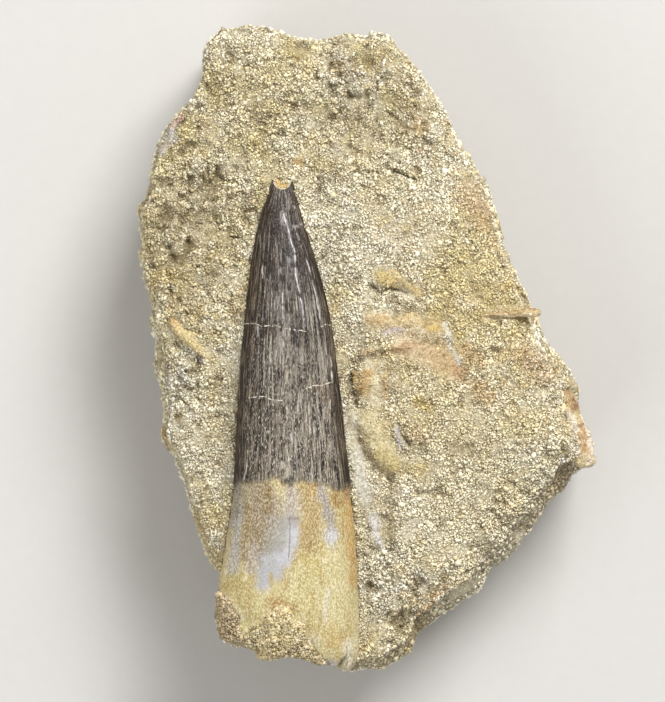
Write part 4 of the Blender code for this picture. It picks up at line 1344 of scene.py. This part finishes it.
def tooth_rings(settings):
    """Rings of the tooth from tip to root end, with their angle, distance along, ridge height and shrinking.

    A point is the axis place plus the half width times the cosine and the half depth times the sine of its
    angle, grown by its relief. Sides bunch on the upper half, which is the half that shows, and start below.
    Both ends are caps that shrink to the axis: the tip's is tilted to face up, and the root's slants.
    """
    growing, rows = np.linspace(0.0, 1.0, CAP_RINGS)[:-1], np.linspace(0.0, TOOTH_LENGTH, TOOTH_ROWS)
    shrink = np.concatenate((growing, np.ones(TOOTH_ROWS), growing[::-1]))
    along = np.concatenate((np.zeros(len(growing)), rows, np.full(len(growing), TOOTH_LENGTH)))
    turn = TURN * np.arange(TOOTH_SIDES) / TOOTH_SIDES - 0.5 * math.pi
    around, along = np.meshgrid(turn + BUNCHING * np.cos(turn), along)
    shrink = np.broadcast_to(shrink[:, None], along.shape)
    aside, axis, half_width, half_depth = tooth_girth(along)
    x, y = aside + half_width * np.cos(around), TOOTH_TIP_Y - along
    on_crown = smooth_step(enamel_distance(x, y), -0.08, 0.12)
    ridge = crown_ridges(around, along, settings) * on_crown
    place = np.stack((x, y, axis + half_depth * np.sin(around)), -1)
    relief = settings.ridge_height / MM * ridge + settings.enamel_step / MM * on_crown - 0.12
    relief += 0.07 * fractal(place * (1.0, 0.45, 1.0), 2.4, 3, seed=211)
    flutes = fractal(place * (1.0, 0.12, 1.0), 0.9, 2, seed=221)
    relief += (0.05 * flutes + 0.035 * fractal(place, 0.7, 3, seed=231)) * (1.0 - on_crown)
    relief += crust_height(depth_inside(x, y, ROOT_SAND), x, y) * upper_side(around)
    relief -= end_rounding(TOOTH_LENGTH - along)
    half_width, half_depth = (half_width + relief) * shrink, (half_depth + relief) * shrink
    x, z = aside + half_width * np.cos(around), axis + half_depth * np.sin(around)
    inner = np.stack((x, y, z), -1)
    dish = 0.3 * (1.0 - shrink ** 2)
    tip_shift = TIP_BREAK_TILT * (z - axis) - 0.25 + dish - 0.08 * fractal(inner, 0.5, 2, seed=251)
    tip_shift *= np.exp(-along / 1.2)
    root_shift = end_shift(inner, shrink, aside) * np.exp(-(TOOTH_LENGTH - along) / 2.5)
    y = y - np.where(along < TOOTH_LENGTH / 2.0, tip_shift, root_shift)
    return np.stack((x, y, z), -1), around, along, ridge, shrink


def end_rounding(before_end):
    """How far the root's surface draws in at a distance before its end."""
    return ROOT_END_ROUNDING * np.clip(1.0 - before_end / ROOT_END_REACH, 0.0, 1.0) ** 2


def end_shift(inner, shrink, aside):
    """How far the root's broken end stands out from a flat cut, by its shrinking from rim to axis.

    It slants across, is dished with broken facets, and drops into the hollow of the pulp.
    """
    shift = ROOT_END_SLANT * (inner[..., 0] - aside) - 0.4 - 0.3 * (1.0 - shrink ** 2)
    shift -= 0.6 * (1.0 - smooth_step(shrink, 0.5, 0.66))
    shift += 0.35 * (1.0 - shrink ** 4) * facets(inner, 1.7, seed=245)
    return shift + 0.3 * fractal(inner, 1.3, 4, seed=241)


def enamel_distance(x, y):
    """How far a place is tipwards of the enamel's ragged edge, in millimetres."""
    return y - np.interp(x, *ENAMEL_EDGE.T) + 0.22 * flat_fractal(x, y, 0.5, 3, seed=261)


def crack_distance(x, y):
    """Signed distance along y to the nearest crack that reaches this x, and NO_CRACK where there is none."""
    nearest = np.full(x.shape, NO_CRACK)
    wander = 0.06 * flat_fractal(x, 0.2 * y, 0.8, 3, seed=271)
    for route in CRACKS:
        gap = y - np.interp(x, *route.T) + wander
        gap = np.where((x < route[0, 0]) | (x > route[-1, 0]), NO_CRACK, gap)
        nearest = np.where(np.abs(gap) < np.abs(nearest), gap, nearest)
    return nearest


def crown_colours(x, y, around, along, ridge):
    """Enamel: dark brown with fine paler lines along it, greyer towards the root, with painted shade at both
    edges, where it turns down, and over its left flank.
    """
    lines = flat_fractal(around * 9.0, along * 0.13, 0.24, 3, seed=281)
    broad = flat_fractal(around * 2.2, along * 0.3, 1.0, 3, seed=291)
    upper = 1.0 - smooth_step(along, 8.0, 16.0)
    dusty = (0.3 + 0.7 * ridge) * smooth_step(0.3 * broad - lines, 0.35, 0.8)
    # painted shade: darker where the enamel turns down at both edges and over its left flank
    side = np.maximum(smooth_step(-np.sin(around), -0.7, -0.3), smooth_step(-np.cos(around), 0.45, 0.85))
    colours = layered(
        even(x, "#37281f"),
        ("#8a7d69", smooth_step(along, 9.0, 26.0) * (0.7 + 0.3 * broad)),
        ("#7d756e", 0.5 * smooth_step(broad, 0.0, 0.9)),
        ("#180d05", 0.35 + (1.2 + 0.5 * upper) * lines),
        ("#b8b0a3", 0.7 * dusty),
        # the painted shade on the edges, with its lines darker still and a few paler lines in it
        ("#2f1d09", 0.85 * side),
        ("#0d0703", 0.7 * side * smooth_step(lines, 0.0, 0.5)),
        ("#97876e", 0.5 * side * smooth_step(-lines, 0.1, 0.6)))
    shown = smooth_step(flat_fractal(x, y, 0.6, 2, seed=301), -0.5, 0.1)
    shown = shown * smooth_step(np.sin(around), 0.25, 0.5)
    return turned(colours, marked(colours, x, y, CROWN_MARKS, 0.05), shown)


def root_colours(x, y, around):
    """Root: pale ochre with stained, bleached and rusty patches, drawn out along it, and painted shade where
    it turns under.
    """
    colours = layered(
        even(x, "#d0c48b"),
        ("#bda667", 0.4 + 0.7 * flat_fractal(x, y * 0.35, 0.7, 3, seed=311)),
        ("#e3d9b2", 0.5 * flat_fractal(x, y * 0.35, 0.45, 3, seed=321)))
    colours = marked(marked(colours, x, y, ROOT_MARKS, 0.2), x, y, ROOT_LINES, 0.04)
    # painted shade: darker where the root turns down and under
    return 0.88 * layered(colours, ("#8f7c50", 0.5 * smooth_step(-np.sin(around), -0.05, 0.35)))


def tip_colours(colours, along, shrink):
    """The broken tip: an ochre core, a pale ring round it and the enamel's dark edge."""
    at_tip = (along < 0.01) & (shrink < 1.0)
    return layered(
        colours,
        ("#cfc5ae", at_tip * (1.0 - smooth_step(shrink, 0.78, 0.92))),
        ("#c9ad74", at_tip * (1.0 - smooth_step(shrink, 0.55, 0.75))))


def end_colours(colours, points, along, shrink):
    """The root's broken end: a pale ring of dentine round the dull brown bed of its hollow."""
    at_end = (along > CROWN_LENGTH) & (shrink < 1.0)
    inner = at_end * (1.0 - smooth_step(shrink, 0.52, 0.7))
    mottle = fractal(points, 1.2, 4, seed=341)
    return layered(
        colours,
        ("#c8b888", at_end * 0.8),
        ("#93794a", at_end * (0.3 + 0.7 * mottle)),
        ("#8a7548", inner),
        ("#5f4e30", inner * (0.5 + 0.6 * mottle)))


def build_tooth(settings):
    """The tooth: crown and root as one closed surface of angle and distance from the tip."""
    rings, around, along, ridge, shrink = tooth_rings(settings)
    x, y = rings[..., 0], rings[..., 1]
    crown = smooth_step(enamel_distance(x, y), -0.45, 0.3)
    colours = turned(root_colours(x, y, around), crown_colours(x, y, around, along, ridge), crown)
    colours = end_colours(tip_colours(colours, along, shrink), rings, along, shrink)
    sandy = smooth_step(depth_inside(x, y, ROOT_SAND), -0.3, 0.1) * upper_side(around)
    # dark brown under the root's sand crust: partly the cement's colour and partly painted shade between its
    # grains
    colours = layered(colours, ("#7d6a42", 0.85 * sandy * smooth_step(shrink, 0.9, 1.0)))
    tints = np.stack([ring_values(colours[..., channel]) for channel in range(3)], -1)
    dust = crown * (0.25 + 0.6 * smooth_step(along, 10.0, 28.0)) * smooth_step(np.sin(around), 0.3, 0.8)
    bleached_width, bleached_route = BLEACHED
    values = {
        "crown": crown,
        "crack": np.where(crown > 0.5, crack_distance(x, y), NO_CRACK),
        "dust": dust,
        "mottle": 1.0 - 0.65 * stroke(x, y, bleached_route, bleached_width, 4),
    }
    values = {key: ring_values(grid) for key, grid in values.items()}
    points, faces, bake_map = closed_tube(rings)
    piece = write_mesh("tooth_surface", points, faces, tooth_material(settings), tints, values, bake_map)
    keep(piece, "enamel", "tooth")


def lumpy_body(stations, sides, rows, relief, seed):
    """Rings along a smooth path: ovals with flattened tops, grown by noise, with round ends.

    A ring's point is the path's place, plus the half width times the cosine of its turn aside, plus the
    half depth times the sine's root of the same sign up. Coarse noise makes the outline uneven.
    """
    curve = curve_through(stations, 16)
    part = np.linspace(0.0, 1.0, rows)
    ends = np.sqrt(np.clip(1.0 - np.abs(2.0 * part - 1.0) ** 6, 0.0, 1.0))
    path = np.stack([np.interp(part, np.linspace(0.0, 1.0, len(curve)), column) for column in curve.T], -1)
    heading = np.gradient(path[:, :2], axis=0)
    heading /= np.linalg.norm(heading, axis=1)[:, None]
    turn = TURN * np.arange(sides) / sides
    wide, deep = path[:, 3] * ends, path[:, 4] * ends
    aside = wide[:, None] * np.cos(turn)
    rings = np.stack((
        path[:, 0:1] - heading[:, 1:2] * aside,
        path[:, 1:2] + heading[:, 0:1] * aside,
        path[:, 2:3] + deep[:, None] * np.sign(np.sin(turn)) * np.abs(np.sin(turn)) ** 0.6,
    ), -1)
    middle = path[:, None, :3]
    lumps = fractal(rings, 0.9, 4, seed=seed) + 1.2 * noise(rings, 2.2, seed=seed + 7)
    grow = 1.0 + relief * (lumps + 1.2 * facets(rings, 1.3, seed=seed + 11))
    return middle + (rings - middle) * grow[..., None]


def bone_colours(points, seed):
    """Bone: ochre to cream by noise, with the marks that cross it."""
    x, y = points[:, 0], points[:, 1]
    colours = layered(
        even(x, "#c2aa78"),
        ("#d3c69c", 0.4 + 0.8 * fractal(points, 0.8, 3, seed=seed)),
        ("#a58252", 0.7 * smooth_step(fractal(points, 0.6, 3, seed=seed + 9), 0.3, 0.8)))
    return marked(colours, x, y, FACE_MARKS, 0.28)


def build_bones(settings):
    """The scraps of bone: one closed lumpy body each, with sand that sticks to its upper side."""
    rng = np.random.default_rng(settings.seed + 2)
    material, grains = bone_material(), grain_material()
    for number, (name, stations) in enumerate(BONE_PIECES.items()):
        sink, share = BONE_COVER[name]
        sunk = stations - (0.0, 0.0, sink, 0.0, sink)
        rings = lumpy_body(sunk, sides=56, rows=72, relief=0.17, seed=401 + 20 * number)
        points, faces, bake_map = closed_tube(rings)
        colours = bone_colours(points, 501 + 20 * number)
        keep(write_mesh(name + "_surface", points, faces, material, colours, bake_map=bake_map), "bone", name)
        upper = np.flatnonzero(points[:, 2] > sunk[:, 2].mean())
        full_cover = 2.0 * line_length(stations) * stations[:, 3].mean() / (settings.face_pitch / MM) ** 2
        upper = rng.permutation(upper)[:int(share * full_cover)]
        sizes = grain_sizes(rng, len(upper), settings, 0.95)
        places = (points[upper, :2] - points.min(0)[:2]) / np.ptp(points[:, :2], axis=0).max()
        tints = grain_colours(rng, colours[upper])
        for piece in sand(name + "_sand", points[upper], sizes, tints, places, grains, rng):
            keep(piece, "sandstone")


def line_length(stations):
    """Length of a route through stations."""
    return np.sum(np.linalg.norm(np.diff(stations[:, :3], axis=0), axis=1))


def build_root_fill(settings):
    """The sandstone in the root's broken end: a rough cone, with its own grains."""
    rng = np.random.default_rng(settings.seed + 1)
    rings = lumpy_body(ROOT_FILL, sides=96, rows=110, relief=0.1, seed=601)
    points, faces, bake_map = closed_tube(rings)
    x, y, z = points.T
    # the cement's dark colour, partly its own and partly painted shade between the filling's grains
    colours = 0.45 * even(x, "#cdbd90") + 0.55 * np.array(settings.cement)
    piece = write_mesh("root_filling", points, faces, cement_material("filling_cement"), colours,
                       {"grainy": np.ones(len(points))}, bake_map)
    keep(piece, "sandstone", "root_fill")
    shown = np.flatnonzero((z > tooth_cover(x, y) - 0.05) | (y < FILLING_END))
    points = points[rng.permutation(shown)[:FILLING_GRAINS]]
    sizes = grain_sizes(rng, len(points), settings, 1.1)
    tints = grain_colours(rng, even(points[:, 0], "#d6c69a"))
    places = (points[:, :2] + (16.0, 36.0)) / 20.0
    for piece in sand("filling_sand", points, sizes, tints, places, grain_material(), rng):
        keep(piece, "sandstone")


def build_stage(settings):
    """Pale floor, soft lights, even light from all round and the camera."""
    half = settings.floor_size / 2.0 / MM
    corners = half * np.array(((-1.0, -1.0), (1.0, -1.0), (1.0, 1.0), (-1.0, 1.0)))
    points = np.concatenate((corners, np.full((4, 1), FLOOR_LEVEL)), axis=1)
    write_mesh("floor", points, (np.array(((0, 1, 2, 3),)),), floor_material(), smooth=False)
    add_light("key", *KEY_LIGHT, settings.key_power)
    add_light("fill", *FILL_LIGHT, settings.fill_power)
    world = bpy.data.worlds.new("studio")
    world.use_nodes = True
    background = world.node_tree.nodes["Background"]
    background.inputs["Color"].default_value = (1.0, 0.99, 0.97, 1.0)
    background.inputs["Strength"].default_value = settings.sky_strength
    bpy.context.scene.world = world
    bpy.context.scene.view_settings.view_transform = "Standard"
    add_camera()


def add_camera():
    """The camera straight above the face, framed as the photograph is."""
    camera = bpy.data.cameras.new("photo_camera")
    camera.sensor_width = SENSOR
    camera.lens = SENSOR * CAMERA_DISTANCE / (PHOTO_HEIGHT * PHOTO_SCALE)
    camera.clip_start = 0.01
    holder = bpy.data.objects.new("photo_camera", camera)
    offset_x, offset_y = PHOTO_WIDTH / 2.0 - PHOTO_MIDDLE[0], PHOTO_MIDDLE[1] - PHOTO_HEIGHT / 2.0
    place = (offset_x * PHOTO_SCALE, offset_y * PHOTO_SCALE, FACE_LEVEL + CAMERA_DISTANCE)
    holder.location = [value * MM for value in place]
    bpy.context.scene.collection.objects.link(holder)
    bpy.context.scene.camera = holder


def add_light(name, place, size, power):
    """A square soft light that faces the block."""
    lamp = bpy.data.lights.new(name, "AREA")
    lamp.size = size
    lamp.energy = power
    holder = bpy.data.objects.new(name, lamp)
    holder.location = place
    away = holder.location.normalized()
    holder.rotation_euler = away.to_track_quat("Z", "Y").to_euler()
    bpy.context.scene.collection.objects.link(holder)


class FOSSIL_OT_rock(bpy.types.Operator):
    """Build the sandstone block"""
    bl_idname = "fossil.rock"
    bl_label = "Block"

    def execute(self, context):
        build_rock(context.scene.fossil_rock)
        return {"FINISHED"}


class FOSSIL_OT_sand(bpy.types.Operator):
    """Set the sand grains on the block"""
    bl_idname = "fossil.sand"
    bl_label = "Sand grains"

    def execute(self, context):
        build_sand(context.scene.fossil_rock)
        return {"FINISHED"}


class FOSSIL_OT_tooth(bpy.types.Operator):
    """Build the tooth, crown and root"""
    bl_idname = "fossil.tooth"
    bl_label = "Tooth"

    def execute(self, context):
        build_tooth(context.scene.fossil_tooth)
        return {"FINISHED"}


class FOSSIL_OT_root_fill(bpy.types.Operator):
    """Build the sandstone in the root's broken end"""
    bl_idname = "fossil.root_fill"
    bl_label = "Root filling"

    def execute(self, context):
        build_root_fill(context.scene.fossil_rock)
        return {"FINISHED"}


class FOSSIL_OT_bones(bpy.types.Operator):
    """Build the scraps of bone"""
    bl_idname = "fossil.bones"
    bl_label = "Bone scraps"

    def execute(self, context):
        build_bones(context.scene.fossil_rock)
        return {"FINISHED"}


class FOSSIL_OT_stage(bpy.types.Operator):
    """Set up the floor, the lights and the camera"""
    bl_idname = "fossil.stage"
    bl_label = "Stage"

    def execute(self, context):
        build_stage(context.scene.fossil_stage)
        return {"FINISHED"}


OPERATORS = (FOSSIL_OT_stage, FOSSIL_OT_rock, FOSSIL_OT_sand, FOSSIL_OT_tooth, FOSSIL_OT_root_fill,
             FOSSIL_OT_bones)
SETTINGS = {"fossil_rock": RockSettings, "fossil_tooth": ToothSettings, "fossil_stage": StageSettings}


class FOSSIL_PT_panel(bpy.types.Panel):
    """Sizes, colours and build buttons of the fossil"""
    bl_label = "Fossil tooth"
    bl_idname = "FOSSIL_PT_panel"
    bl_space_type = "VIEW_3D"
    bl_region_type = "UI"
    bl_category = "Fossil"

    def draw(self, context):
        for key, group in SETTINGS.items():
            box = self.layout.box()
            for name in group.__annotations__:
                box.prop(getattr(context.scene, key), name)
        for operator in OPERATORS:
            self.layout.operator(operator.bl_idname)


def register():
    for group in (*SETTINGS.values(), *OPERATORS, FOSSIL_PT_panel):
        bpy.utils.register_class(group)
    for key, group in SETTINGS.items():
        setattr(bpy.types.Scene, key, PointerProperty(type=group))


def unregister():
    for key in SETTINGS:
        delattr(bpy.types.Scene, key)
    for group in reversed((*SETTINGS.values(), *OPERATORS, FOSSIL_PT_panel)):
        bpy.utils.unregister_class(group)


def main():
    """Registers the add-on's classes and builds every piece."""
    register()
    bpy.ops.fossil.stage()
    bpy.ops.fossil.rock()
    bpy.ops.fossil.sand()
    bpy.ops.fossil.tooth()
    bpy.ops.fossil.root_fill()
    bpy.ops.fossil.bones()


if __name__ == "__main__":
    main()
